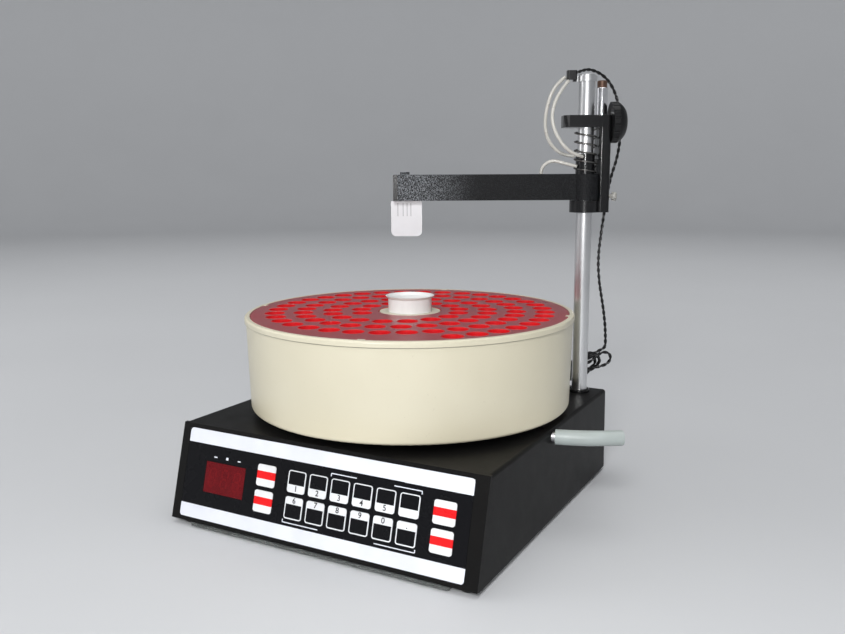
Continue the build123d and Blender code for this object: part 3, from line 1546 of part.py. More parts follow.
# Two pale leads hang from the clip to the arm's sleeve
lead_radius = 1.6
first_lead = [
    at_post(-17.6, -2, 383),
    at_post(-24, -4.5, 373),
    at_post(-30, -7.5, 361),
    at_post(-32.5, -10.5, 347),
    at_post(-28.5, -13.2, 331.5),
    at_post(-20.5, -14.6, 316.8),
    at_post(-11, -12.4, 309),
    at_post(-5.1, -8.15, 307.7),
]
second_lead = [
    at_post(-20.1, 1.8, 386.5),
    at_post(-27, 1, 381),
    at_post(-33.5, -0.5, 371.5),
    at_post(-37.8, -2, 357),
    at_post(-38.8, -2, 341.5),
    at_post(-35, -1.5, 327),
    at_post(-26.5, 1.2, 315),
    at_post(-17, 2.6, 307.6),
    at_post(-9.5, 2.5, 306.1),
]
with BuildPart() as head_leads:
    for number, lead_route in enumerate((first_lead, second_lead)):
        with BuildLine():
            lead_path = FilletPolyline(
                *lead_route, radius=route_radii(f"head lead {number + 1}", lead_route, 2 * lead_radius, True)
            )
        with BuildSketch(Plane(origin=lead_path @ 0, z_dir=lead_path % 0)):
            Circle(lead_radius)
        sweep(path=lead_path)
head_leads.part.label = "head_leads"
export_step(head_leads.part, "parts/head_leads.step")

arm_lead_route = [
    at_post(-41.6, 0, arm_top),
    at_post(-41.6, 0, 301.5),
    at_post(-37.5, -0.5, 307.2),
    at_post(-30, -2, 310.2),
    at_post(-21, -4.6, 309.6),
    at_post(-8.6, -5.2, 307.2),
]
with BuildPart() as arm_lead:
    with BuildLine():
        arm_lead_path = FilletPolyline(
            *arm_lead_route, radius=route_radii("arm lead", arm_lead_route, 2 * lead_radius, True)
        )
    with BuildSketch(Plane(origin=arm_lead_path @ 0, z_dir=arm_lead_path % 0)):
        Circle(lead_radius)
    sweep(path=arm_lead_path)
arm_lead.part.label = "arm_lead"
export_step(arm_lead.part, "parts/arm_lead.step")

# Hank: long loops of the cable, wound as one tube and leaning beside the post
hank_lean = 29
hank_open = 45
hank_run = 27
hank_bend = 7.6
hank_pitch = 3.8
hank_loops = 4
hank_start = (21.2, 21, 126)
lean_cos = math.cos(math.radians(hank_lean))
lean_sin = math.sin(math.radians(hank_lean))
open_cos = math.cos(math.radians(hank_open))
open_sin = math.sin(math.radians(hank_open))
run_direction = (-lean_cos, 0, -lean_sin)
wide_direction = (open_sin * lean_sin, open_cos, -open_sin * lean_cos)
stack_direction = (open_cos * lean_sin, -open_sin, -open_cos * lean_cos)


def hank_point(along, wide, stacked):
    place = Vector(*hank_start) + Vector(*run_direction) * along
    place += Vector(*wide_direction) * wide + Vector(*stack_direction) * stacked
    return at_post(place.X, place.Y, place.Z)


with BuildPart() as cable_hank:
    with BuildLine() as hank_path:
        for half_loop in range(2 * hank_loops):
            outbound = half_loop % 2 == 0
            near = (0 if outbound else hank_run) if half_loop else -2 * cable_radius
            far = hank_run if outbound else 0
            bulge = hank_bend if outbound else -hank_bend
            here_wide = 0 if outbound else 2 * hank_bend
            next_wide = 2 * hank_bend - here_wide
            here_stacked = half_loop * hank_pitch / 2
            next_stacked = here_stacked + hank_pitch / 2
            turn_radius = math.hypot(hank_bend, hank_pitch / 4)
            run_start = hank_point(near, here_wide, here_stacked)
            run_end = hank_point(far, here_wide, here_stacked)
            Line(run_start, run_end)
            crest = far + (turn_radius if outbound else -turn_radius)
            turn_top = hank_point(crest, hank_bend, here_stacked + hank_pitch / 4)
            turn_end = hank_point(far, next_wide, next_stacked)
            ThreePointArc(run_end, turn_top, turn_end)
        last_stacked = hank_loops * hank_pitch
        Line(hank_point(0, 0, last_stacked), hank_point(hank_run, 0, last_stacked))
    hank_wire = hank_path.wires()[0]
    with BuildSketch(Plane(origin=hank_wire @ 0, z_dir=hank_wire % 0)):
        Circle(cable_radius)
    sweep(path=hank_wire)
cable_hank.part.label = "cable_hank"
export_step(cable_hank.part, "parts/cable_hank.step")
least_gap("cable hank", [hank_wire], 2 * cable_radius)


def at_rear_corner(inward, forward, height):
    return (base_x + case_width / 2 - inward, base_y + case_depth / 2 - forward, height)


# Head cable: a free stretch from the clip down to the hank, and a tail from the hank to the gland
end_run = 5.5
hank_entry = hank_point(-2 * cable_radius, 0, 0)
hank_approach = hank_point(-2 * cable_radius - end_run, 0, 0)
upper_route = [
    at_post(-9.1, 3, 390.6),
    at_post(-1, 8, 394.2),
    at_post(8.5, 13.5, 394.6),
    at_post(18.5, 18.6, 388.6),
    at_post(27.6, 21.5, 376.5),
    at_post(34.9, 24, 362),
    at_post(38.2, 25, 344),
    at_post(38, 24.5, 327),
    at_post(35.4, 23.5, 311.5),
    at_post(30.4, 22.6, 296),
    at_post(26.9, 21.8, 280.5),
    at_post(24.4, 21, 262),
    at_post(21.2, 20.6, 237),
    at_post(19, 20.4, 211),
    at_post(21.6, 20.5, 187.5),
    at_post(26.2, 20.8, 165.5),
    at_post(29.4, 21, 147),
    at_post(30.6, 21, 136),
    hank_approach,
    hank_entry,
]
gland_run = 7
hank_leave = hank_point(hank_run, 0, hank_loops * hank_pitch)
gland_tip = rear_plane.from_local_coords((gland_left, gland_rise, gland_length))
gland_front = rear_plane.from_local_coords((gland_left, gland_rise, gland_length + gland_run))
tail_route = [
    hank_leave,
    hank_point(hank_run + end_run, 0, hank_loops * hank_pitch),
    at_rear_corner(32.7, 17.3, 94.6),
    at_rear_corner(37.2, 14.8, 89.8),
    at_rear_corner(41.9, 8.3, 87.6),
    at_rear_corner(44.2, 0.1, 87.2),
    at_rear_corner(45.3, -8.1, 84.2),
    at_rear_corner(45.9, -15.1, 77.6),
    at_rear_corner(46.3, -18.9, 69),
    at_rear_corner(46.5, -17.2, 62.2),
    (gland_front.X, gland_front.Y, gland_front.Z),
    (gland_tip.X, gland_tip.Y, gland_tip.Z),
]
with BuildPart() as head_cable:
    for name, cable_route in (("upper cable", upper_route), ("cable tail", tail_route)):
        with BuildLine():
            cable_path = FilletPolyline(
                *cable_route, radius=route_radii(name, cable_route, 2 * cable_radius, True)
            )
        with BuildSketch(Plane(origin=cable_path @ 0, z_dir=cable_path % 0)):
            Circle(cable_radius)
        sweep(path=cable_path)
        swept = math.pi * cable_radius**2 * cable_path.length
        print(name, "length", round(cable_path.length, 1), "section times length", round(swept))
print("head cable volume", round(head_cable.part.volume))
head_cable.part.label = "head_cable"
export_step(head_cable.part, "parts/head_cable.step")
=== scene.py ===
import math
import bmesh
import bpy
from mathutils import Matrix, Vector


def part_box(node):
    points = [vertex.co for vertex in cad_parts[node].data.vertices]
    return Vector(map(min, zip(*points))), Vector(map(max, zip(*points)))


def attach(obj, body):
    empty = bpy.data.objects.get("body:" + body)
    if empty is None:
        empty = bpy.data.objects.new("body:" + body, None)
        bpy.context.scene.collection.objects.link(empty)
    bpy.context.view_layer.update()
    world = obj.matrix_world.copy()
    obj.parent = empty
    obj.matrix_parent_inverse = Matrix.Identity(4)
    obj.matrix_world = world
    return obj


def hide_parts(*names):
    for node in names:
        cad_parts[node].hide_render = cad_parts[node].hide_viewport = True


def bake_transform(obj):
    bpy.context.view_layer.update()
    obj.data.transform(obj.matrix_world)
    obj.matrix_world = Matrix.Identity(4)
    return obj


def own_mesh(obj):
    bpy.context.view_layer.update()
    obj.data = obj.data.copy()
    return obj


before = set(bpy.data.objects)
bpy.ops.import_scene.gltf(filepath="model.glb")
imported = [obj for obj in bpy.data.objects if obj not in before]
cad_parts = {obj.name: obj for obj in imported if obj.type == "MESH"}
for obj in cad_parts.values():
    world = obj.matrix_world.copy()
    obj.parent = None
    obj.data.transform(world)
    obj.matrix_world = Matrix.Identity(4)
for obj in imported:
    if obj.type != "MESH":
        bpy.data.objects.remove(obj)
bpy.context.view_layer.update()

scene = bpy.context.scene
print("frame loaded:", len(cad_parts), "nodes")

# places that the whole scene shares, read from the frame, in metres
headTurn = math.radians(28.7)
postLow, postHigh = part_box("post")
postX = (postLow.x + postHigh.x) / 2
postY = (postLow.y + postHigh.y) / 2
spindleLow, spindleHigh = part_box("bowl_spindle")
bowlX = (spindleLow.x + spindleHigh.x) / 2
bowlY = (spindleLow.y + spindleHigh.y) / 2
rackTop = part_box("rack_top_plate")[1].z
caseLow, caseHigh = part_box("case_cover")
panelLow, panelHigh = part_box("front_panel")
caseX = (caseLow.x + caseHigh.x) / 2
panelSlope = 0.022  # how far the panel leans back from its foot to its top
panelRise = panelHigh.z - panelLow.z
slopeLength = math.hypot(panelSlope, panelRise)
panelUp = Vector((0, panelSlope / slopeLength, panelRise / slopeLength))
panelOut = Vector((0, -panelRise / slopeLength, panelSlope / slopeLength))
panelFoot = Vector((caseX, panelLow.y, panelLow.z))


def atPost(outward, behind, height):  # outward points away from the arm
    return Vector((
        postX + outward * math.cos(headTurn) - behind * math.sin(headTurn),
        postY + outward * math.sin(headTurn) + behind * math.cos(headTurn),
        height,
    ))


def atPanel(across, rise, out=0.0):
    return panelFoot + Vector((across, 0, 0)) + panelUp * rise + panelOut * out


def faceLevel(node):  # how far a piece's outermost face stands in front of the panel's foot
    return max((corner.co - panelFoot).dot(panelOut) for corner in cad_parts[node].data.vertices)


# the camera stands where the photograph was taken from
camera = {
    "place": (0.35432, -0.6632, 0.2977),
    "yaw": -0.501,
    "pitch": 0.1675,
    "roll": -0.005,
    "focalShare": 845.4 / 845,
    "sensor": 36.0,
}
ahead = Vector((
    math.sin(camera["yaw"]) * math.cos(camera["pitch"]),
    math.cos(camera["yaw"]) * math.cos(camera["pitch"]),
    -math.sin(camera["pitch"]),
))
level = Vector((math.cos(camera["yaw"]), -math.sin(camera["yaw"]), 0))
upward = level.cross(ahead)
tilt = camera["roll"]
right = level * math.cos(tilt) + upward * math.sin(tilt)
top = upward * math.cos(tilt) - level * math.sin(tilt)
eye = bpy.data.cameras.new("photoCamera")
eye.sensor_width = camera["sensor"]
eye.lens = camera["sensor"] * camera["focalShare"]
eyeObject = bpy.data.objects.new("photoCamera", eye)
scene.collection.objects.link(eyeObject)
axes = Matrix((right, top, -ahead)).transposed()
eyeObject.matrix_world = Matrix.Translation(camera["place"]) @ axes.to_4x4()
scene.camera = eyeObject


# shader maths: a link to a socket, with the signs of arithmetic
class Link:
    def __init__(self, paint, socket):
        self.paint = paint
        self.socket = socket

    def maths(self, operation, *values):
        return self.paint.add("ShaderNodeMath", {"operation": operation}, dict(enumerate(values)))

    def __add__(self, other):
        return self.maths("ADD", self, other)

    def __sub__(self, other):
        return self.maths("SUBTRACT", self, other)

    def __rsub__(self, other):
        return self.maths("SUBTRACT", other, self)

    def __mul__(self, other):
        return self.maths("MULTIPLY", self, other)

    def __truediv__(self, other):
        return self.maths("DIVIDE", self, other)

    def __gt__(self, other):
        return self.maths("GREATER_THAN", self, other)

    def __lt__(self, other):
        return self.maths("LESS_THAN", self, other)

    __radd__ = __add__

    def __abs__(self):
        return self.maths("ABSOLUTE", self)

    def __pow__(self, other):
        return self.maths("POWER", self, other)

    def atLeast(self, other):
        return self.maths("MAXIMUM", self, other)

    def atMost(self, other):
        return self.maths("MINIMUM", self, other)

    def clamped(self):
        return self.atLeast(0.0).atMost(1.0)

    def ramped(self, start, end):
        return self.paint.add("ShaderNodeMapRange", {"interpolation_type": "SMOOTHSTEP"},
                              {"Value": self, "From Min": start, "From Max": end})


def inside(value, low, high):
    return (value > low) * (value < high)


def roughFrom(look, share):  # rougher and smoother patches around the look's own roughness
    return look["rough"] + (share - 0.5) * look["roughSpread"]


class Paint:
    def __init__(self, name, **constants):
        self.material = bpy.data.materials.new(name)
        self.material.use_nodes = True
        self.tree = self.material.node_tree
        self.tree.nodes.clear()
        self.shader = self.tree.nodes.new("ShaderNodeBsdfPrincipled")
        self.end = self.tree.nodes.new("ShaderNodeOutputMaterial")
        self.tree.links.new(self.shader.outputs["BSDF"], self.end.inputs["Surface"])
        for socket, value in constants.items():
            self.shader.inputs[socket.replace("_", " ")].default_value = value
        self.place = self.add("ShaderNodeTexCoord", output="Object")

    def add(self, kind, settings=None, sockets=None, output=0):
        node = self.tree.nodes.new(kind)
        for name, value in (settings or {}).items():
            setattr(node, name, value)
        for name, value in (sockets or {}).items():
            self.feed(node.inputs[name], value)
        return Link(self, node.outputs[output])

    def feed(self, socket, value):
        if isinstance(value, Link):
            self.tree.links.new(value.socket, socket)
        else:
            socket.default_value = value

    def mix(self, share, first, second):
        first = first if isinstance(first, Link) else (*first, 1)
        second = second if isinstance(second, Link) else (*second, 1)
        return self.add("ShaderNodeMix", {"data_type": "RGBA"}, {0: share, 6: first, 7: second}, output=2)

    def stretched(self, x, y, z):
        return self.add("ShaderNodeVectorMath", {"operation": "MULTIPLY"}, {0: self.place, 1: (x, y, z)})

    def noise(self, scale, detail=2.0, where=None, rough=0.5):
        sockets = {"Vector": where or self.place, "Scale": scale, "Detail": detail, "Roughness": rough}
        return self.add("ShaderNodeTexNoise", {}, sockets)

    def parts(self, where=None):
        node = self.tree.nodes.new("ShaderNodeSeparateXYZ")
        self.feed(node.inputs[0], where or self.place)
        return [Link(self, node.outputs[axis]) for axis in "XYZ"]

    def clouded(self, scale, first, second, edges=(0.3, 0.7), detail=3):  # two close colours in soft clouds
        cloud = self.noise(scale, detail)
        return cloud, self.mix(cloud.ramped(*edges), first, second)

    def specked(self, base, speck):  # small specks of another colour
        share = self.noise(speck["scale"], speck["detail"]).ramped(*speck["range"]) * speck["share"]
        return self.mix(share, base, speck["colour"])

    def bump(self, height, look):
        sockets = {"Height": height, "Strength": look["bump"], "Distance": look["depth"]}
        self.feed(self.shader.inputs["Normal"], self.add("ShaderNodeBump", {}, sockets))

    def grained(self, look):
        self.bump(self.noise(look["grainScale"], 2), look)

    def surface(self, colour=None, rough=None, metal=None):
        for socket, value in (("Base Color", colour), ("Roughness", rough), ("Metallic", metal)):
            if value is not None:
                self.feed(self.shader.inputs[socket], value)
        return self.material


def grainedPlastic(name, look):
    paint = Paint(name, Specular_IOR_Level=look.get("specular", 0.5), Coat_Weight=look.get("coat", 0.0))
    colour = paint.clouded(look.get("cloudScale", 14), look["colour"], look["second"])[1]
    fleck = paint.noise(look["grainScale"], 2)
    if "fleck" in look:
        colour = paint.mix(fleck.ramped(*look["fleckRange"]) * look["fleckShare"], colour, look["fleck"])
    rub = paint.noise(look.get("rubScale", 60), 4, rough=0.7)
    rough = look["rough"] + (rub - 0.5) * look.get("roughSpread", 0.12)
    paint.bump(fleck, look)
    return paint.surface(colour, rough)


def drawnMetal(name, look):
    paint = Paint(name, Anisotropic=look.get("anisotropy", 0.0))
    lines = paint.noise(1.0, 3, paint.stretched(*look["lines"]))
    cloud, colour = paint.clouded(look.get("cloudScale", 25), look["colour"], look["second"], (0.35, 0.7), 4)
    rough = look["rough"] + (lines - 0.5) * look["lineRough"] + (cloud - 0.5) * look.get("smudge", 0.08)
    paint.bump(lines, look)
    return paint.surface(colour, rough, look.get("metal", 1.0))


blackPlastic = grainedPlastic("blackPlastic", {
    "colour": (0.0062, 0.0064, 0.007), "second": (0.0095, 0.0095, 0.0105), "rough": 0.4, "grainScale": 1250,
    "bump": 0.4, "depth": 0.0003, "specular": 0.2,
})
smoothBlack = grainedPlastic("smoothBlack", {
    "colour": (0.0055, 0.0055, 0.006), "second": (0.0085, 0.0085, 0.0095), "rough": 0.24, "grainScale": 2600,
    "bump": 0.12, "depth": 0.0002, "specular": 0.3, "coat": 0.22,
})
caseEnamel = grainedPlastic("caseEnamel", {
    "colour": (0.0042, 0.0041, 0.0042), "second": (0.0062, 0.0058, 0.0056), "rough": 0.44, "grainScale": 1700,
    "bump": 0.3, "depth": 0.0003, "specular": 0.12,
    "fleck": (0.018, 0.017, 0.016), "fleckRange": (0.56, 0.7), "fleckShare": 0.25,
})
whitePlastic = grainedPlastic("whitePlastic", {
    "colour": (0.80, 0.80, 0.79), "second": (0.74, 0.745, 0.74), "rough": 0.3, "grainScale": 1800,
    "bump": 0.1, "depth": 0.0002, "coat": 0.2,
})
blackRubber = grainedPlastic("blackRubber", {
    "colour": (0.018, 0.018, 0.018), "second": (0.03, 0.029, 0.027), "rough": 0.72, "grainScale": 900,
    "bump": 0.4, "depth": 0.0004, "specular": 0.35,
})
greenBoard = grainedPlastic("greenBoard", {
    "colour": (0.015, 0.11, 0.045), "second": (0.02, 0.16, 0.07), "rough": 0.38, "grainScale": 500,
    "bump": 0.2, "depth": 0.0002, "fleck": (0.55, 0.42, 0.2), "fleckRange": (0.62, 0.66), "fleckShare": 0.8,
})
postMetal = drawnMetal("postMetal", {
    "colour": (0.72, 0.725, 0.73), "second": (0.64, 0.645, 0.655), "rough": 0.3, "lines": (1500, 1500, 12),
    "lineRough": 0.12, "bump": 0.12, "depth": 0.0001, "anisotropy": 0.35,
})
platedSteel = drawnMetal("platedSteel", {
    "colour": (0.52, 0.52, 0.53), "second": (0.43, 0.43, 0.45), "rough": 0.33, "lines": (700, 700, 700),
    "lineRough": 0.2, "bump": 0.15, "depth": 0.0001,
})
springSteel = drawnMetal("springSteel", {
    "colour": (0.16, 0.155, 0.15), "second": (0.09, 0.088, 0.085), "rough": 0.35, "lines": (900, 900, 900),
    "lineRough": 0.2, "bump": 0.1, "depth": 0.0001, "metal": 0.9,
})
castAlloy = drawnMetal("castAlloy", {
    "colour": (0.55, 0.55, 0.55), "second": (0.4, 0.4, 0.41), "rough": 0.5, "lines": (450, 450, 450),
    "lineRough": 0.3, "bump": 0.5, "depth": 0.0004,
})
gearBrass = drawnMetal("gearBrass", {
    "colour": (0.62, 0.42, 0.16), "second": (0.45, 0.29, 0.1), "rough": 0.36, "lines": (700, 700, 700),
    "lineRough": 0.2, "bump": 0.15, "depth": 0.0001,
})
coreIron = drawnMetal("coreIron", {
    "colour": (0.09, 0.09, 0.095), "second": (0.05, 0.048, 0.045), "rough": 0.55, "lines": (40, 2200, 40),
    "lineRough": 0.2, "bump": 0.6, "depth": 0.0003, "metal": 0.7,
})


creamLook = {
    "colour": (0.595, 0.555, 0.425), "second": (0.625, 0.585, 0.455), "rough": 0.36, "roughSpread": 0.16,
    "cloudScale": 9, "grainScale": 2200, "bump": 0.12, "depth": 0.0002, "coat": 0.1, "coatRough": 0.25,
    "aged": (0.61, 0.535, 0.35), "agedBelow": 0.125, "agedOver": 0.035, "agedShare": 0.22,
    "speck": {"colour": (0.42, 0.38, 0.28), "scale": 420, "detail": 2, "range": (0.70, 0.76), "share": 0.22},
    "seam": (0.09, 0.082, 0.062), "seamUnderTop": 0.0052, "seamShadeEdges": (0.00055, 0.0002), "seamShadeShare": 0.72,
    "rubStretch": (55, 55, 190), "rubBump": 0.2, "grainBump": 0.3,
}
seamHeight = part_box("bowl")[1].z - creamLook["seamUnderTop"]


def bowlFinish():  # cream plastic, a little yellower low down, with a painted shade line under the rim's step, and faint rubs where it is turned by hand
    look = creamLook
    paint = Paint("creamBowl", Coat_Weight=look["coat"], Coat_Roughness=look["coatRough"])
    height = paint.parts()[2]
    base = paint.clouded(look["cloudScale"], look["colour"], look["second"])[1]
    lowDown = (height * -1 + look["agedBelow"]).ramped(0.0, look["agedOver"])
    aged = paint.mix(lowDown * look["agedShare"], base, look["aged"])
    # painted shade: a thin dark line at the step under the rim, where the step's shade falls
    seam = abs(height - seamHeight).ramped(*look["seamShadeEdges"])
    colour = paint.mix(seam * look["seamShadeShare"], paint.specked(aged, look["speck"]), look["seam"])
    rub = paint.noise(1.0, 4, paint.stretched(*look["rubStretch"]), 0.7)
    grain = paint.noise(look["grainScale"], 2)
    paint.bump(grain * look["grainBump"] + rub * look["rubBump"], look)
    return paint.surface(colour, roughFrom(look, rub))


rackLook = {
    "top": (0.235, 0.018, 0.026), "topSecond": (0.27, 0.022, 0.03), "cloudScale": 30, "grainScale": 1500,
    "wall": (0.86, 0.016, 0.022), "deep": (0.45, 0.004, 0.007), "wallDepth": 0.0052, "wallCoat": 0.7,
    "wallEdges": (0.85, 0.35), "rough": 0.3, "roughSpread": 0.12, "bump": 0.12, "depth": 0.0002,
    "dust": {"colour": (0.62, 0.38, 0.38), "scale": 850, "detail": 3, "range": (0.68, 0.76), "share": 0.2},
}


def rackFinish():  # clear red, brighter in the walls of the sockets, which darken deeper down to a painted shade
    look = rackLook
    paint = Paint("redRack", Subsurface_Weight=0.12, Subsurface_Scale=0.004,
                  Specular_IOR_Level=0.3, Coat_Roughness=0.16)
    normal = paint.add("ShaderNodeNewGeometry", output="Normal")
    wallShare = abs(paint.parts(normal)[2]).ramped(*look["wallEdges"])
    cloud, lid = paint.clouded(look["cloudScale"], look["top"], look["topSecond"])
    # painted shade: each socket's wall darkens from its top down to the deep colour, as shade inside the hole
    towardsTop = (paint.parts()[2] - rackTop + look["wallDepth"]) * (1 / look["wallDepth"])
    wall = paint.mix(towardsTop.clamped(), look["deep"], look["wall"])
    colour = paint.mix(wallShare, paint.specked(lid, look["dust"]), wall)
    paint.feed(paint.shader.inputs["Coat Weight"], wallShare * look["wallCoat"])
    paint.grained(look)
    return paint.surface(colour, roughFrom(look, cloud))


def outwardFromPost(x, y):
    return (x - postX) * math.cos(headTurn) + (y - postY) * math.sin(headTurn)


armLook = {
    "colour": (0.0052, 0.0054, 0.006), "paintedGlintColour": (0.22, 0.235, 0.25), "grainScale": 1050,
    "fineScale": 1470, "leatherShare": 0.7, "fineShare": 0.6, "crumbRange": (0.55, 0.82),
    "paintedGlintRange": (-0.098, -0.165), "paintedGlintShare": 0.92, "plainShare": 0.05, "rough": 0.38,
    "roughSpread": 0.12, "bump": 0.5, "depth": 0.0003, "specular": 0.11,
}


def grainedArmPaintedGlint():  # leather grain, with a painted highlight lightening the crumbs towards the arm's free end, where they glint
    look = armLook
    paint = Paint("grainedArmPaintedGlint", Specular_IOR_Level=look["specular"])
    freeEnd = outwardFromPost(*paint.parts()[:2]).ramped(*look["paintedGlintRange"])
    leather = paint.add("ShaderNodeTexVoronoi", {}, {"Vector": paint.place, "Scale": look["grainScale"]})
    fine = paint.noise(look["fineScale"], 2)
    crumb = (fine * look["fineShare"] + leather * look["leatherShare"]).ramped(*look["crumbRange"])
    # painted highlight: the grain's crumbs are lightened in colour towards the free end, standing in for
    # their glint in the light
    paintedGlint = crumb * (freeEnd * look["paintedGlintShare"] + look["plainShare"])
    paint.bump(crumb, look)
    return paint.surface(paint.mix(paintedGlint, look["colour"], look["paintedGlintColour"]),
                         look["rough"] + crumb * look["roughSpread"])


sensorLook = {
    "grooves": (0.1779, 0.1729, 0.1691, 0.1655), "halfLine": 0.0003, "low": 0.2580, "high": 0.2705,
    "frontSide": -0.0012, "white": (0.68, 0.68, 0.70), "second": (0.64, 0.64, 0.655), "cloudScale": 60,
    "line": (0.16, 0.16, 0.17), "grooveShadeShare": 0.8, "rough": 0.32, "roughSpread": 0.1, "grainScale": 1600,
    "bump": 0.1, "depth": 0.0002,
}


def sensorFinish():  # white plate, with painted shade in thin dark lines along its cut grooves
    look = sensorLook
    paint = Paint("sensorWhite", Coat_Weight=0.2, Coat_Roughness=0.2)
    x, y, z = paint.parts()
    inward = outwardFromPost(x, y) * -1
    behind = (y - postY) * math.cos(headTurn) - (x - postX) * math.sin(headTurn)
    # painted shade: dark lines along the grooves, on the plate's front side only
    lines = None
    for groove in look["grooves"]:
        line = inside(inward, groove - look["halfLine"], groove + look["halfLine"])
        lines = line if lines is None else lines + line
    lines = lines * inside(z, look["low"], look["high"]) * (behind < look["frontSide"])
    cloud, white = paint.clouded(look["cloudScale"], look["white"], look["second"])
    paint.grained(look)
    return paint.surface(paint.mix(lines * look["grooveShadeShare"], white, look["line"]), roughFrom(look, cloud))


clipLook = {
    "strapRadius": 0.0104, "block": (0.0065, 0.0065, 0.007), "strap": (0.62, 0.625, 0.63), "strapMetal": 0.95,
    "grainScale": 900, "rough": 0.3, "roughSpread": 0.08, "bump": 0.2, "depth": 0.0002,
}


def clipFinish():  # black block on a bright strap round the post
    look = clipLook
    paint = Paint("clipAndStrap", Specular_IOR_Level=0.4)
    x, y = paint.parts()[:2]
    radius = ((x - postX) * (x - postX) + (y - postY) * (y - postY)) ** 0.5
    strap = radius < look["strapRadius"]
    grain = paint.noise(look["grainScale"], 3)
    paint.bump(grain, look)
    return paint.surface(paint.mix(strap, look["block"], look["strap"]),
                         look["rough"] + grain * look["roughSpread"], strap * look["strapMetal"])


motorLook = {
    "seam": postHigh.z - 0.0097, "can": (0.80, 0.80, 0.82), "cap": (0.105, 0.06, 0.042), "rough": 0.12,
    "capRough": 0.3, "lineRough": 0.05, "lines": (200, 200, 3000), "capPlastic": 0.4,
    "bump": 0.1, "depth": 0.0001,
}


def motorFinish():  # polished can with a brown end cap
    look = motorLook
    paint = Paint("motorCan")
    cap = paint.parts()[2] > look["seam"]
    lines = paint.noise(1.0, 2, paint.stretched(*look["lines"]))
    paint.bump(lines, look)
    return paint.surface(paint.mix(cap, look["can"], look["cap"]),
                         look["rough"] + cap * look["capRough"] + lines * look["lineRough"],
                         1.0 - cap * look["capPlastic"])


clearLook = {
    "cloudScale": 40, "cloudEdges": (0.3, 0.75), "shade": 0.9, "roughSpread": 0.1, "grainScale": 300,
    "bump": 0.08, "depth": 0.0002,
}


def clearFinish(name, colour, rough, through):
    look = clearLook
    paint = Paint(name, Transmission_Weight=through, IOR=1.45)
    darker = tuple(part * look["shade"] for part in colour)
    cloud, shade = paint.clouded(look["cloudScale"], colour, darker, look["cloudEdges"])
    paint.grained(look)
    return paint.surface(shade, rough + (cloud - 0.5) * look["roughSpread"])


creamBowl = bowlFinish()
armGrainAndGlint = grainedArmPaintedGlint()
sensorWhite = sensorFinish()
clipAndStrap = clipFinish()
redRack = rackFinish()
motorCan = motorFinish()
hoseClear = clearFinish("hoseClear", (0.50, 0.555, 0.54), 0.38, 0.25)
leadClear = clearFinish("leadClear", (0.60, 0.585, 0.535), 0.28, 0.15)
cardClear = clearFinish("cardClear", (0.80, 0.84, 0.82), 0.12, 0.9)
nylon = clearFinish("nylon", (0.62, 0.61, 0.57), 0.3, 0.6)
print("finishes made")

# printed film: bands, brackets and marks by their places on the sloped panel, in millimetres
filmLook = {
    "black": (0.0055, 0.0056, 0.0068), "white": (0.74, 0.76, 0.84), "second": (0.68, 0.70, 0.76),
    "upperBand": (68.0, 80.3), "lowerBand": (4.2, 15.6), "upperBracket": (12.0, 93.5, 63.9, 35.6, 69.4),
    "lowerBracket": (-29.3, 93.0, 18.3, 5.4, 57.6), "bracketLeg": 2.4, "lineWidth": 0.75,
    "marks": ((-106.6, 58.3, 3.6, 0.9), (-94.0, 58.6, 2.4, 2.2), (-80.9, 58.3, 3.0, 0.9)),
    "dust": {"colour": (0.045, 0.045, 0.052), "scale": 700, "detail": 3, "range": (0.68, 0.76), "share": 0.3},
    "cloudScale": 35, "rough": 0.27, "roughSpread": 0.14, "inkRough": 0.08, "inkBump": 0.4, "grainBump": 0.25,
}
keyLook = {
    "pitch": 20.85, "rowPitch": 21.1, "left": -20.0, "low": 30.5, "width": 17.2, "height": 17.7,
    "corner": 2.2, "rim": 0.85, "upperField": -2.6, "lowerField": 2.9, "line": (0.76, 0.775, 0.80),
    "second": (0.68, 0.69, 0.71), "cloudScale": 60, "rough": 0.26, "roughSpread": 0.12,
    "inkRough": 0.06, "inkBump": 0.5, "grainBump": 0.2,
}
functionLook = {
    "band": (-2.9, 3.4), "white": (0.78, 0.785, 0.80), "whiteSecond": (0.70, 0.70, 0.71),
    "red": (0.80, 0.012, 0.014), "redSecond": (0.68, 0.01, 0.012), "bandBump": 0.4,
}
printLook = {"cloudEdges": (0.3, 0.75), "grainScale": 1400, "bump": 0.12, "depth": 0.0002}


def panelPlaces(paint):
    x, y, z = paint.parts()
    across = (x - panelFoot.x) * 1000
    rise = (y - panelFoot.y) * (panelUp.y * 1000) + (z - panelFoot.z) * (panelUp.z * 1000)
    return across, rise


def roundedBox(across, rise, halfWidth, halfHeight, corner):  # distance outside a rounded box, in millimetres
    beyondX = abs(across) - (halfWidth - corner)
    beyondY = abs(rise) - (halfHeight - corner)
    outX, outY = beyondX.atLeast(0.0), beyondY.atLeast(0.0)
    return (outX * outX + outY * outY) ** 0.5 + beyondX.atLeast(beyondY).atMost(0.0) - corner


def printBump(paint, ink, inkBump, grainBump):  # ink stands a little proud of the film's grain
    grain = paint.noise(printLook["grainScale"], 2)
    paint.bump(ink * inkBump + grain * grainBump, printLook)


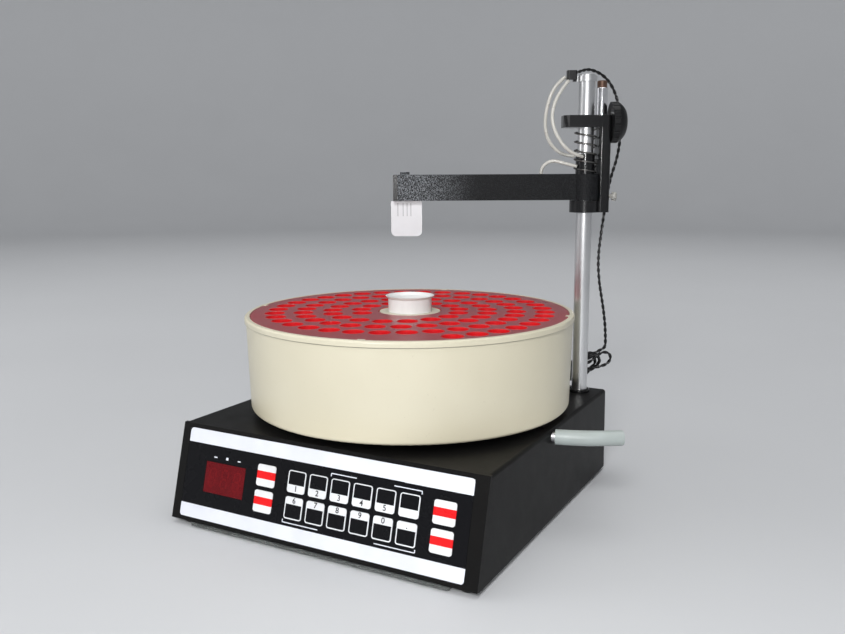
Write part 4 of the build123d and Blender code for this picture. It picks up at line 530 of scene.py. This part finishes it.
def printedFilm():
    look = filmLook
    paint = Paint("printedFilm", Specular_IOR_Level=0.14)
    across, rise = panelPlaces(paint)
    bands = inside(rise, *look["upperBand"]) + inside(rise, *look["lowerBand"])
    lines = None
    half = look["lineWidth"] / 2
    brackets = ((look["upperBracket"], -look["bracketLeg"]), (look["lowerBracket"], look["bracketLeg"]))
    for (start, end, height, gapStart, gapEnd), leg in brackets:
        run = inside(rise, height - half, height + half) * inside(across, start, end)
        run = run * (1 - inside(across, gapStart, gapEnd))
        legs = inside(rise, min(height, height + leg), max(height, height + leg))
        legs = legs * (inside(across, start - half, start + half) + inside(across, end - half, end + half))
        lines = run + legs if lines is None else lines + run + legs
    for middle, height, width, tall in look["marks"]:
        mark = inside(across, middle - width / 2, middle + width / 2)
        lines = lines + mark * inside(rise, height - tall / 2, height + tall / 2)
    ink = (bands + lines).clamped()
    cloud, white = paint.clouded(look["cloudScale"], look["white"], look["second"], printLook["cloudEdges"])
    black = paint.specked(look["black"], look["dust"])
    printBump(paint, ink, look["inkBump"], look["grainBump"])
    rough = roughFrom(look, cloud) + ink * look["inkRough"]
    return paint.surface(paint.mix(ink, black, white), rough)


def rowPlaces(rise):  # 1 on the upper row of keys, and the height over the middle of the own row
    upper = rise > keyLook["low"] + keyLook["rowPitch"] / 2
    return upper, rise - keyLook["low"] - upper * keyLook["rowPitch"]


def numberKeyPrint():  # black keys in a white frame, with a white field for the number
    look = keyLook
    paint = Paint("numberKeyPrint", Specular_IOR_Level=0.16)
    across, rise = panelPlaces(paint)
    column = (across - look["left"]) / look["pitch"]
    local = (column - column.maths("ROUND", column)) * look["pitch"]
    upper, fromRow = rowPlaces(rise)
    rim = roundedBox(local, fromRow, look["width"] / 2, look["height"] / 2, look["corner"]) > -look["rim"]
    field = upper * (fromRow < look["upperField"]) + (1 - upper) * (fromRow > look["lowerField"])
    ink = (rim + field).clamped()
    cloud, white = paint.clouded(look["cloudScale"], look["line"], look["second"], printLook["cloudEdges"])
    printBump(paint, ink, look["inkBump"], look["grainBump"])
    rough = roughFrom(look, cloud) + ink * look["inkRough"]
    return paint.surface(paint.mix(ink, filmLook["black"], white), rough)


def functionKeyPrint():  # white keys with a red band across the middle
    look = functionLook
    paint = Paint("functionKeyPrint", Specular_IOR_Level=0.32)
    rise = panelPlaces(paint)[1]
    band = inside(rowPlaces(rise)[1], *look["band"])
    edges = printLook["cloudEdges"]
    cloud, white = paint.clouded(keyLook["cloudScale"], look["white"], look["whiteSecond"], edges)
    red = paint.mix(cloud.ramped(*edges), look["red"], look["redSecond"])
    printBump(paint, band, look["bandBump"], keyLook["grainBump"])
    return paint.surface(paint.mix(band, white, red), roughFrom(keyLook, cloud))


windowLook = {
    "across": -94.3, "rise": 41.0, "digitPitch": 13.2, "halfWide": 3.1, "halfTall": 7.6, "lean": 0.1,
    "bar": 0.75, "lowGap": 1.05, "highGap": 0.9, "sideGap": 0.975, "glass": (0.085, 0.0016, 0.004),
    "second": (0.105, 0.0022, 0.005), "figure": (0.26, 0.008, 0.01), "figureShare": 0.2, "dotScale": 900,
    "dotRange": (0.4, 0.6), "dotShare": 0.2, "cloudScale": 50, "grainScale": 500, "bump": 0.05,
    "depth": 0.0001, "rough": 0.16, "dotRough": 0.2,
}


def windowPrint():  # dark red lens with three unlit figures just showing behind it
    look = windowLook
    paint = Paint("redWindow", Specular_IOR_Level=0.35)
    across, rise = panelPlaces(paint)
    up = rise - look["rise"]
    leaned = (across - look["across"] - up * look["lean"]) / look["digitPitch"]
    number = leaned.maths("ROUND", leaned).atLeast(-1.0).atMost(1.0)
    local = abs((leaned - number) * look["digitPitch"])
    tall = abs(up)
    wide, high, bar = look["halfWide"], look["halfTall"], look["bar"]
    uprights = inside(local, wide - bar, wide + bar) * inside(tall, look["lowGap"], high - look["highGap"])
    levels = (inside(tall, high - bar, high + bar) + (tall < bar)) * (local < wide - look["sideGap"])
    figures = (uprights + levels).clamped()
    dots = paint.noise(look["dotScale"], 1).ramped(*look["dotRange"]) * look["dotShare"]
    glass = paint.clouded(look["cloudScale"], look["glass"], look["second"])[1]
    paint.grained(look)
    return paint.surface(paint.mix(figures * look["figureShare"] + dots, glass, look["figure"]),
                         look["rough"] + dots * look["dotRough"])


filmPaint = printedFilm()
numberPaint = numberKeyPrint()
functionPaint = functionKeyPrint()
windowPaint = windowPrint()
print("printed panel made")

# the frame's own nodes under the finish that they wear
finishNodes = (
    (caseEnamel, ("base_plate", "case_cover", "rear_panel", "front_panel")),
    (filmPaint, ("panel_overlay",)), (windowPaint, ("display_window",)), (cardClear, ("reference_card",)),
    (greenBoard, ("control_board", "main_board")), (coreIron, ("transformer",)), (hoseClear, ("drain_hose",)),
    (blackRubber, ("feet", "drive_sleeve")), (castAlloy, ("spindle_housing", "bowl_spindle")),
    (platedSteel, ("case_screws", "spindle_bearings", "drain_spigot", "swing_bracket", "drive_motor")),
    (postMetal, ("post", "post_cap")), (clipAndStrap, ("cable_clip",)), (creamBowl, ("bowl",)),
    (redRack, ("rack_top_plate", "rack_guide_plate", "rack_floor_plate")), (whitePlastic, ("centre_cup",)),
    (motorCan, ("arm_motor",)), (blackPlastic, ("lock_knob",)), (gearBrass, ("arm_pinion",)),
    (armGrainAndGlint, ("arm",)), (sensorWhite, ("sensor_plate",)), (springSteel, ("lift_spring",)),
    (leadClear, ("head_leads", "arm_lead")),
    (smoothBlack, ("rear_sockets", "post_collar", "power_rocker", "carrier", "arm_sleeve", "arm_end_cap",
                   "head_cable", "cable_hank")),
)
nodeFinish = {name: finish for finish, names in finishNodes for name in names}
functionKeys = ("key_run", "key_feed", "key_pause", "key_return")
for name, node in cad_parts.items():
    if name.startswith("key_"):
        finish = functionPaint if name in functionKeys else numberPaint
    else:
        finish = nodeFinish[name]
    node.data.materials.clear()
    node.data.materials.append(finish)
print("frame nodes painted")


def addPiece(name, mesh, body, finish=None, replaces=()):
    piece = bpy.data.objects.new(name, mesh)
    scene.collection.objects.link(piece)
    if finish is not None:
        mesh.materials.clear()
        mesh.materials.append(finish)
    if body:
        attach(piece, body)
    if replaces:
        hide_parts(*replaces)
    return piece


def meshOf(name, points, faces, smooth=True):
    mesh = bpy.data.meshes.new(name)
    mesh.from_pydata([tuple(point) for point in points], [], faces)
    work = bmesh.new()
    work.from_mesh(mesh)
    bmesh.ops.remove_doubles(work, verts=work.verts, dist=1e-7)
    bmesh.ops.recalc_face_normals(work, faces=work.faces)
    work.to_mesh(mesh)
    work.free()
    mesh.polygons.foreach_set("use_smooth", [smooth] * len(mesh.polygons))
    return mesh


def plainMesh(holder):  # the evaluated object as a plain mesh, with the holder removed
    scene.collection.objects.link(holder)
    bpy.context.view_layer.update()
    mesh = bpy.data.meshes.new_from_object(holder.evaluated_get(bpy.context.evaluated_depsgraph_get()))
    bpy.data.objects.remove(holder)
    return mesh


def splineLine(name, points, steps):  # points read from the route's own smooth spline
    curve = bpy.data.curves.new(name, "CURVE")
    curve.dimensions = "3D"
    curve.resolution_u = steps
    spline = curve.splines.new("NURBS")
    spline.points.add(len(points) - 1)
    for point, place in zip(spline.points, points):
        point.co = (*place, 1)
    spline.order_u = 3
    spline.use_endpoint_u = True
    mesh = plainMesh(bpy.data.objects.new(name, curve))
    line = [vertex.co.copy() for vertex in mesh.vertices]
    bpy.data.curves.remove(curve)
    bpy.data.meshes.remove(mesh)
    return line


def lineFrames(line):  # a steady pair of cross axes along the line
    ahead = [(line[min(i + 1, len(line) - 1)] - line[max(i - 1, 0)]).normalized() for i in range(len(line))]
    side = ahead[0].orthogonal().normalized()
    frames = []
    for here in ahead:
        side = (side - here * side.dot(here)).normalized()
        frames.append((side, here.cross(side)))
    return frames


def ringPoints(centre, side, across, radius, sides):
    angles = [2 * math.pi * number / sides for number in range(sides)]
    return [centre + (side * math.cos(angle) + across * math.sin(angle)) * radius for angle in angles]


def ringFaces(start, rings, sides):  # quads from ring to ring, with both ends closed
    faces = []
    for ring in range(rings - 1):
        low = start + ring * sides
        for number in range(sides):
            after = (number + 1) % sides
            faces.append((low + number, low + after, low + sides + after, low + sides + number))
    faces.append(tuple(range(start, start + sides)))
    faces.append(tuple(range(start + (rings - 1) * sides, start + rings * sides)))
    return faces


def tubeMesh(name, line, radius, sides, offset=0.0, pitch=0.0, strands=1):
    frames = lineFrames(line)
    travelled = [0.0]
    for before, after in zip(line, line[1:]):
        travelled.append(travelled[-1] + (after - before).length)
    points, faces = [], []
    for strand in range(strands):
        faces += ringFaces(len(points), len(line), sides)
        for place, (side, across), distance in zip(line, frames, travelled):
            turn = 2 * math.pi * (strand / strands + (distance / pitch if pitch else 0))
            centre = place + (side * math.cos(turn) + across * math.sin(turn)) * offset
            points += ringPoints(centre, side, across, radius, sides)
    return meshOf(name, points, faces)


def lengthOf(line):
    return sum((after - before).length for before, after in zip(line, line[1:]))


cableLook = {
    "diameter": 0.0032, "strand": 0.00098, "strandSides": 8, "offset": 0.00066, "twistPitch": 0.0125,
    "steps": 8,
}
upperPlaces = (
    (-0.0091, 0.003, 0.3906), (-0.001, 0.0105, 0.3942), (0.0085, 0.0175, 0.3946),
    (0.0205, 0.0226, 0.3898), (0.0303, 0.025, 0.3785), (0.0364, 0.026, 0.362),
    (0.0382, 0.025, 0.344), (0.038, 0.0245, 0.327), (0.0354, 0.0235, 0.3115),
    (0.0304, 0.0226, 0.296), (0.0269, 0.0218, 0.2805), (0.0244, 0.021, 0.262),
    (0.0212, 0.0206, 0.237), (0.019, 0.0204, 0.211), (0.0216, 0.0205, 0.1875),
    (0.0262, 0.0225, 0.1655), (0.0294, 0.0257, 0.147), (0.0308, 0.0285, 0.1335),
)
hankLook = {
    "lean": math.radians(29), "open": math.radians(72), "run": 0.027, "pitch": 0.0038, "endRun": 0.0055,
    "start": Vector((0.0212, 0.029, 0.1238)), "waist": 0.0135, "drawnIn": 0.0036,
    "tops": (0.0065, 0.0005, 0.0, 0.001, 0.0), "lows": (0.0206, 0.0157, 0.0149, 0.0158),
    "rightEnds": (0.0125, 0.0150, 0.0105, 0.0005), "leftEnds": (0.0305, 0.0322, 0.0302, 0.0316),
    "joins": (-0.0085, -0.003), "bendStep": 22.5,
}
leanCos, leanSin = math.cos(hankLook["lean"]), math.sin(hankLook["lean"])
openCos, openSin = math.cos(hankLook["open"]), math.sin(hankLook["open"])
runWay = Vector((-leanCos, 0, -leanSin))
wideWay = Vector((openSin * leanSin, openCos, -openSin * leanCos))
stackWay = Vector((openCos * leanSin, -openSin, -openCos * leanCos))


def hankPoint(along, wide, stacked):
    place = hankLook["start"] + runWay * along + wideWay * wide + stackWay * stacked
    return atPost(place.x, place.y, place.z)


def halfTurn(turnAt, fromWide, toWide, side, stacked):  # four control points clasp the bend
    reach = abs(toWide - fromWide) / 2
    middle = (fromWide + toWide) / 2
    outside = reach / math.cos(math.radians(hankLook["bendStep"]))
    slack = reach * math.tan(math.radians(hankLook["bendStep"]))
    points = [hankPoint(turnAt - side * slack, fromWide, stacked)]
    for step in (1, 3, 5, 7):
        turned = step * hankLook["bendStep"]
        angle = math.radians(turned)
        wide = middle - side * outside * math.cos(angle)
        points.append(hankPoint(turnAt + side * outside * math.sin(angle), wide,
                                stacked + turned / 360 * hankLook["pitch"]))
    points.append(hankPoint(turnAt - side * slack, toWide, stacked + hankLook["pitch"] / 2))
    return points


def hankTurns():  # the loops end short of the waist, apart from the last, which opens past it like a drop
    points = []
    tops, waist, drawnIn = hankLook["tops"], hankLook["waist"], hankLook["drawnIn"]
    halfPitch = hankLook["pitch"] / 2
    ends = zip(hankLook["lows"], hankLook["rightEnds"], hankLook["leftEnds"])
    for loop, (low, rightEnd, leftEnd) in enumerate(ends):
        stacked = loop * hankLook["pitch"]
        points += halfTurn(leftEnd, tops[loop], low, 1, stacked)
        stacked += halfPitch
        isLast = loop == len(hankLook["lows"]) - 1
        if isLast:
            points.append(hankPoint(waist, low - drawnIn, stacked))
        points += halfTurn(rightEnd, low, tops[loop + 1], -1, stacked)
        if isLast:
            points.append(hankPoint(waist, tops[-1] + drawnIn, stacked + halfPitch))
    return points


hankHeight = len(hankLook["lows"]) * hankLook["pitch"]
tailPlaces = (
    (0.0874187, 0.1327, 0.0946), (0.0829187, 0.1352, 0.0898), (0.0782187, 0.1417, 0.0876),
    (0.0759187, 0.1499, 0.0872), (0.0748187, 0.1581, 0.0842), (0.0742187, 0.1651, 0.0776),
    (0.0738187, 0.1689, 0.069), (0.0736187, 0.1672, 0.0622), (0.0736187, 0.163, 0.059),
    (0.0736187, 0.156, 0.059),
)
tailRoute = [hankPoint(hankLook["run"], 0, hankHeight)]
tailRoute.append(hankPoint(hankLook["run"] + hankLook["endRun"], 0, hankHeight))
tailRoute += [Vector(place) for place in tailPlaces]
joinRoute = [hankPoint(along, hankLook["tops"][0], 0) for along in hankLook["joins"]]
upperRoute = [atPost(*place) for place in upperPlaces]
cableRoute = upperRoute + joinRoute + hankTurns() + tailRoute
cableLine = splineLine("cableLine", cableRoute, cableLook["steps"])
print("head cable", round(lengthOf(cableLine), 4), "m")
cableMesh = tubeMesh("twistedCable", cableLine, cableLook["strand"], cableLook["strandSides"],
                     cableLook["offset"], cableLook["twistPitch"], strands=2)
headCable = addPiece("twistedCable", cableMesh, "base", smoothBlack, ("head_cable", "cable_hank"))

leadLook = {"radius": 0.0016, "sides": 14, "steps": 10}
leadRoutes = {
    "leadFront": [
        (-0.0176, -0.002, 0.383), (-0.0252, -0.0045, 0.3735), (-0.0317, -0.0075, 0.3615),
        (-0.0342, -0.0105, 0.3475), (-0.0302, -0.0138, 0.333), (-0.0215, -0.0165, 0.3205),
        (-0.011, -0.0148, 0.3142), (-0.004, -0.0093, 0.313),
    ],
    "leadBack": [
        (-0.0201, 0.0018, 0.3865), (-0.027, 0.001, 0.381), (-0.0335, -0.0005, 0.3715),
        (-0.0378, -0.001, 0.357), (-0.0388, 0.0005, 0.3415), (-0.035, 0.0025, 0.328),
        (-0.0268, 0.004, 0.3188), (-0.0175, 0.004, 0.3143), (-0.0095, 0.0027, 0.3138),
    ],
}
for name, route in leadRoutes.items():
    line = splineLine(name, [atPost(*place) for place in route], leadLook["steps"])
    leadMesh = tubeMesh(name, line, leadLook["radius"], leadLook["sides"])
    lead = addPiece(name, leadMesh, None, leadClear, ("head_leads",))
    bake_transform(lead)
armRoute = [
    (-0.0416, 0, 0.2972), (-0.0416, 0, 0.3015), (-0.0375, -0.0005, 0.3072),
    (-0.030, -0.002, 0.3098), (-0.021, -0.0046, 0.3072), (-0.0086, -0.0052, 0.304),
]
armLine = splineLine("armLeadLine", [atPost(*place) for place in armRoute], leadLook["steps"])
armLeadMesh = tubeMesh("armLead", armLine, leadLook["radius"], leadLook["sides"])
armLead = addPiece("armLead", armLeadMesh, None, leadClear, ("arm_lead",))
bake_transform(armLead)
print("cords laid")


class NodeRecipe:
    def __init__(self, name, inputs):
        self.group = bpy.data.node_groups.new(name, "GeometryNodeTree")
        self.group.interface.new_socket(name="Geometry", in_out="INPUT", socket_type="NodeSocketGeometry")
        self.group.interface.new_socket(name="Geometry", in_out="OUTPUT", socket_type="NodeSocketGeometry")
        for label, value in inputs.items():
            kind = "NodeSocketInt" if isinstance(value, int) else "NodeSocketFloat"
            socket = self.group.interface.new_socket(name=label, in_out="INPUT", socket_type=kind)
            socket.default_value = value
        self.start = self.group.nodes.new("NodeGroupInput")
        self.end = self.group.nodes.new("NodeGroupOutput")
        self.inputs = inputs

    def add(self, kind, settings=None, sockets=None, output=0):
        node = self.group.nodes.new(kind)
        for name, value in (settings or {}).items():
            setattr(node, name, value)
        for name, value in (sockets or {}).items():
            self.feed(node.inputs[name], value)
        return node.outputs[output]

    def feed(self, socket, value):
        if isinstance(value, bpy.types.NodeSocket):
            self.group.links.new(value, socket)
        else:
            socket.default_value = value

    def given(self, label):
        return self.start.outputs[label]

    def circle(self, steps, radius):
        return self.add("GeometryNodeCurvePrimitiveCircle", {"mode": "RADIUS"},
                        {"Resolution": self.given(steps), "Radius": self.given(radius)})

    def close(self, geometry, finish):
        real = self.add("GeometryNodeRealizeInstances", {}, {"Geometry": geometry})
        done = self.add("GeometryNodeSetMaterial", {}, {"Geometry": real, "Material": finish})
        self.feed(self.end.inputs["Geometry"], done)

    def grow(self, name, startMesh, body, finish, replaces=()):
        holder = bpy.data.objects.new(name, startMesh)
        modifier = holder.modifiers.new(name, "NODES")
        modifier.node_group = self.group
        for item in self.group.interface.items_tree:
            if item.in_out == "INPUT" and item.name in self.inputs:
                modifier[item.identifier] = self.inputs[item.name]
        mesh = plainMesh(holder)
        mesh.polygons.foreach_set("use_smooth", [True] * len(mesh.polygons))
        mesh.name = name
        return addPiece(name, mesh, body, finish, replaces)


def pointMesh(name, points):
    mesh = bpy.data.meshes.new(name)
    mesh.from_pydata([tuple(point) for point in points], [], [])
    return mesh


rackHoles = {
    "spacing": 0.02172, "count": 95, "track": 0.1235, "pitch": 0.0258,
    "turn": math.radians(27.4), "startAngle": math.radians(-68.2),
}


def holePlaces():  # the two-centre spiral of half circles that the sockets follow
    places = []
    angle, front, lap = rackHoles["startAngle"], True, 0
    track, pitch = rackHoles["track"], rackHoles["pitch"]
    turnCos, turnSin = math.cos(rackHoles["turn"]), math.sin(rackHoles["turn"])
    for _ in range(rackHoles["count"]):
        radius = track + (pitch / 2 if front else 0) - lap * pitch
        along = (-pitch / 2 if front else 0) + radius * math.cos(angle)
        across = radius * math.sin(angle)
        places.append((bowlX + along * turnCos - across * turnSin,
                       bowlY + along * turnSin + across * turnCos))
        angle += rackHoles["spacing"] / radius
        halfEnd = 0 if front else math.pi
        if angle > halfEnd:
            past = (angle - halfEnd) * radius
            if front:
                angle = past / (track - lap * pitch)
            else:
                lap += 1
                angle = -math.pi + past / (track + pitch / 2 - lap * pitch)
            front = not front
    return places


# painted highlight: the socket rims are a brighter red than the rack's top, standing in for light caught on
# their rounded lips
rimRedPaintedHighlight = grainedPlastic("rimRedPaintedHighlight", {
    "colour": (0.62, 0.022, 0.028), "second": (0.74, 0.05, 0.052), "rough": 0.14, "grainScale": 800,
    "cloudScale": 90, "bump": 0.06, "depth": 0.0001,
})
rimLook = {"Hole Radius": 0.00925, "Lip Radius": 0.00034, "Round Steps": 40, "Lip Steps": 8}
rimSink = 0.0002  # how deep the middle of the lip lies under the rack's top
rims = NodeRecipe("socketRims", rimLook)
rimRing = rims.add("GeometryNodeCurveToMesh", {}, {
    "Curve": rims.circle("Round Steps", "Hole Radius"),
    "Profile Curve": rims.circle("Lip Steps", "Lip Radius"),
})
rimPlaces = rims.add("GeometryNodeMeshToPoints", {}, {"Mesh": rims.given("Geometry")})
rimSpread = rims.add("GeometryNodeInstanceOnPoints", {}, {"Points": rimPlaces, "Instance": rimRing})
rims.close(rimSpread, rimRedPaintedHighlight)
rimPoints = pointMesh("rimPoints", [(x, y, rackTop - rimSink) for x, y in holePlaces()])
rackRims = rims.grow("socketRims", rimPoints, "turntable", rimRedPaintedHighlight)

springLow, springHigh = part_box("lift_spring")
wireRadius = 0.0008
springSizes = {
    "Turns": 5.0, "Coil Radius": 0.0101, "Wire Radius": wireRadius,
    "Free Height": springHigh.z - springLow.z - 2 * wireRadius, "Steps": 240, "Wire Steps": 12,
}
spring = NodeRecipe("liftSpring", springSizes)
coil = spring.add("GeometryNodeCurveSpiral", {}, {
    "Resolution": spring.given("Steps"), "Rotations": spring.given("Turns"),
    "Height": spring.given("Free Height"),
    "Start Radius": spring.given("Coil Radius"), "End Radius": spring.given("Coil Radius"),
})
wire = spring.add("GeometryNodeCurveToMesh", {}, {
    "Curve": coil, "Profile Curve": spring.circle("Wire Steps", "Wire Radius"), "Fill Caps": True,
})
turned = spring.add("GeometryNodeTransform", {}, {"Geometry": wire, "Rotation": (0, 0, headTurn)})
springPlace = (postX, postY, springLow.z + wireRadius)
springAt = spring.add("GeometryNodeTransform", {}, {"Geometry": turned, "Translation": springPlace})
spring.close(springAt, springSteel)
springSeed = pointMesh("springSeed", [(0, 0, 0)])
liftSpring = spring.grow("liftSpring", springSeed, "head", springSteel, ("lift_spring",))
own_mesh(liftSpring)
print("socket rims and spring grown")

# numbers on the keys, a hair above each key's own face
digitLook = {"size": 0.0063, "raise": 0.00006, "thick": 0.00003, "bold": 0.00009, "fieldMiddles": (5.9, -5.7)}
digitInk = grainedPlastic("digitInk", {
    "colour": (0.012, 0.012, 0.014), "second": (0.018, 0.018, 0.02), "rough": 0.35, "grainScale": 1500,
    "bump": 0.05, "depth": 0.0001,
})
keyRows = (("6", "7", "8", "9", "0", "."), ("1", "2", "3", "4", "5"))
panelTurn = Matrix((Vector((1, 0, 0)), panelUp, panelOut)).transposed().to_4x4()
for row, figures in enumerate(keyRows):
    for column, figure in enumerate(figures):
        text = bpy.data.curves.new("figure", "FONT")
        text.body = figure
        text.size = digitLook["size"]
        text.align_x = "CENTER"
        text.align_y = "CENTER"
        text.extrude = digitLook["thick"]
        text.offset = digitLook["bold"]
        mesh = plainMesh(bpy.data.objects.new("figure", text))
        rise = keyLook["low"] + row * keyLook["rowPitch"] + digitLook["fieldMiddles"][row]
        across = keyLook["left"] + column * keyLook["pitch"]
        keyName = "point" if figure == "." else figure
        centre = atPanel(across / 1000, rise / 1000, faceLevel(f"key_{keyName}") + digitLook["raise"])
        mesh.transform(Matrix.Translation(centre) @ panelTurn)
        digit = addPiece(f"digit_{keyName}", mesh, f"key_{keyName}_pad", digitInk)
print("key numbers set")


stickerLook = {
    "across": 0.1063, "rise": 0.0736, "width": 0.057, "height": 0.0116, "thick": 0.00012, "sunk": 0.00002,
    "corner": 0.0004, "cornerSteps": 4,
}


def platePoints(look, level):  # the outline of a plate with round corners, on the sloped panel
    points = []
    corner = look["corner"]
    halfWidth, halfHeight = look["width"] / 2 - corner, look["height"] / 2 - corner
    for cornerX, cornerY, startAngle in ((1, 1, 0), (-1, 1, 90), (-1, -1, 180), (1, -1, 270)):
        for step in range(look["cornerSteps"] + 1):
            angle = math.radians(startAngle + step * 90 / look["cornerSteps"])
            x = look["across"] + cornerX * halfWidth + corner * math.cos(angle)
            y = look["rise"] + cornerY * halfHeight + corner * math.sin(angle)
            points.append(atPanel(x, y, level))
    return points


stickerPaper = grainedPlastic("stickerPaper", {
    "colour": (0.80, 0.82, 0.87), "second": (0.75, 0.77, 0.83), "rough": 0.5, "grainScale": 900,
    "bump": 0.2, "depth": 0.0002,
})
filmFace = faceLevel("panel_overlay")
stickerBack = platePoints(stickerLook, filmFace - stickerLook["sunk"])
stickerFront = platePoints(stickerLook, filmFace + stickerLook["thick"])
stickerMesh = meshOf("bareSticker", stickerBack + stickerFront, ringFaces(0, 2, len(stickerBack)), False)
sticker = addPiece("bareSticker", stickerMesh, "base", stickerPaper)

# nylon screw in the carrier
nylonLook = {
    "start": 0.0205, "end": 0.0297, "behind": -0.0035, "height": 0.276, "radius": 0.0019, "head": 0.0042,
    "headAt": 0.0258, "sides": 32,
}


def latheMesh(name, origin, along, profile, sides):
    side = along.orthogonal().normalized()
    points = []
    for distance, radius in profile:
        points += ringPoints(origin + along * distance, side, along.cross(side), radius, sides)
    return meshOf(name, points, ringFaces(0, len(profile), sides))


outWay = Vector((math.cos(headTurn), math.sin(headTurn), 0))
nylonStart = atPost(nylonLook["start"], nylonLook["behind"], nylonLook["height"])
shank, head = nylonLook["radius"], nylonLook["head"]
toHead = nylonLook["headAt"] - nylonLook["start"]
toEnd = nylonLook["end"] - nylonLook["start"]
# distance along the screw and radius there, from its tip to the top of its head
nylonProfile = [(0, shank * 0.8), (0.0004, shank), (toHead - 0.0002, shank), (toHead, head * 0.92),
                (toHead + 0.0006, head), (toEnd - 0.0008, head), (toEnd - 0.0002, head * 0.9),
                (toEnd, head * 0.6)]
nylonMesh = latheMesh("nylonScrew", nylonStart, outWay, nylonProfile, nylonLook["sides"])
nylonScrew = addPiece("nylonScrew", nylonMesh, "head", nylon)
print("small pieces made")

floorLook = {
    "radius": 5.2, "round": 1.3, "height": 2.4, "sides": 96, "innerShare": 0.5, "curveSteps": 9,
    "colour": (0.53, 0.54, 0.555), "second": (0.56, 0.57, 0.585), "cloudScale": 3, "grainScale": 400,
    "bump": 0.05, "depth": 0.0005, "rough": 0.62, "roughSpread": 0.1,
}


def studioFloor():
    look = floorLook
    paint = Paint("studioFloor")
    cloud = paint.noise(look["cloudScale"], 3)
    paint.grained(look)
    return paint.surface(paint.mix(cloud, look["colour"], look["second"]), roughFrom(look, cloud))


def sweepFloor():  # a round floor whose rim curves up into a low wall, so no view has an edge
    bend, sides = floorLook["round"], floorLook["sides"]
    flat = floorLook["radius"] - bend
    profile = [(flat * floorLook["innerShare"], 0.0), (flat, 0.0)]
    for step in range(1, floorLook["curveSteps"] + 1):
        angle = math.radians(step * 90 / floorLook["curveSteps"])
        profile.append((flat + bend * math.sin(angle), bend * (1 - math.cos(angle))))
    profile.append((floorLook["radius"], floorLook["height"]))
    points, faces = [(0, 0, 0)], []
    for distance, height in profile:
        for number in range(sides):
            angle = 2 * math.pi * number / sides
            points.append((distance * math.cos(angle), distance * math.sin(angle), height))
    for number in range(sides):
        after = (number + 1) % sides
        faces.append((0, 1 + number, 1 + after))
        for ring in range(len(profile) - 1):
            low = 1 + ring * sides
            high = low + sides
            faces.append((low + number, high + number, high + after, low + after))
    mesh = bpy.data.meshes.new("studioFloor")
    mesh.from_pydata(points, [], faces)
    mesh.polygons.foreach_set("use_smooth", [True] * len(mesh.polygons))
    mesh.materials.append(studioFloor())
    floor = bpy.data.objects.new("studioFloor", mesh)
    scene.collection.objects.link(floor)


sweepFloor()
wallRing = {
    "count": 6, "radius": 1.3, "height": 2.7, "aimRadius": 5.0, "aimHeight": 0.7, "size": 1.3, "power": 26,
}
lights = {
    "keyLight": {"place": (0.55, -1.75, 1.25), "aim": (0, 0, 0.18), "size": 0.55, "power": 26},
    "fillLight": {"place": (-1.7, -1.0, 0.9), "aim": (0, 0, 0.15), "size": 1.3, "power": 9},
    "topLight": {"place": (0.1, 0.2, 2.2), "aim": (0, 0, 0.1), "size": 1.5, "power": 11},
    "roomLight": {"place": (0.0, 0.0, 3.4), "aim": (0, 0, 0), "size": 4.5, "power": 22},
    "flashLight": {"place": (0.43, -0.76, 0.35), "aim": (0, 0, 0.2), "size": 0.07, "power": 2.1},
}
for number in range(wallRing["count"]):  # they face outward and light the floor's rim alone
    angle = 2 * math.pi * (number + 0.5) / wallRing["count"]
    outside = Vector((math.cos(angle), math.sin(angle), 0))
    lights[f"wallLight_{number}"] = {
        "place": outside * wallRing["radius"] + Vector((0, 0, wallRing["height"])),
        "aim": outside * wallRing["aimRadius"] + Vector((0, 0, wallRing["aimHeight"])),
        "size": wallRing["size"], "power": wallRing["power"],
    }
for name, look in lights.items():
    lamp = bpy.data.lights.new(name, "AREA")
    lamp.shape = "DISK"
    lamp.size = look["size"]
    lamp.energy = look["power"]
    lampObject = bpy.data.objects.new(name, lamp)
    scene.collection.objects.link(lampObject)
    towards = Vector(look["aim"]) - Vector(look["place"])
    turn = towards.to_track_quat("-Z", "Y").to_matrix().to_4x4()
    lampObject.matrix_world = Matrix.Translation(look["place"]) @ turn
airLook = {"colour": (0.80, 0.82, 0.86, 1), "strength": 0.2}
world = bpy.data.worlds.new("studioAir")
world.use_nodes = True
air = world.node_tree.nodes["Background"]
air.inputs["Color"].default_value = airLook["colour"]
air.inputs["Strength"].default_value = airLook["strength"]
scene.world = world
scene.view_settings.view_transform = "Standard"
print("floor and lights set")
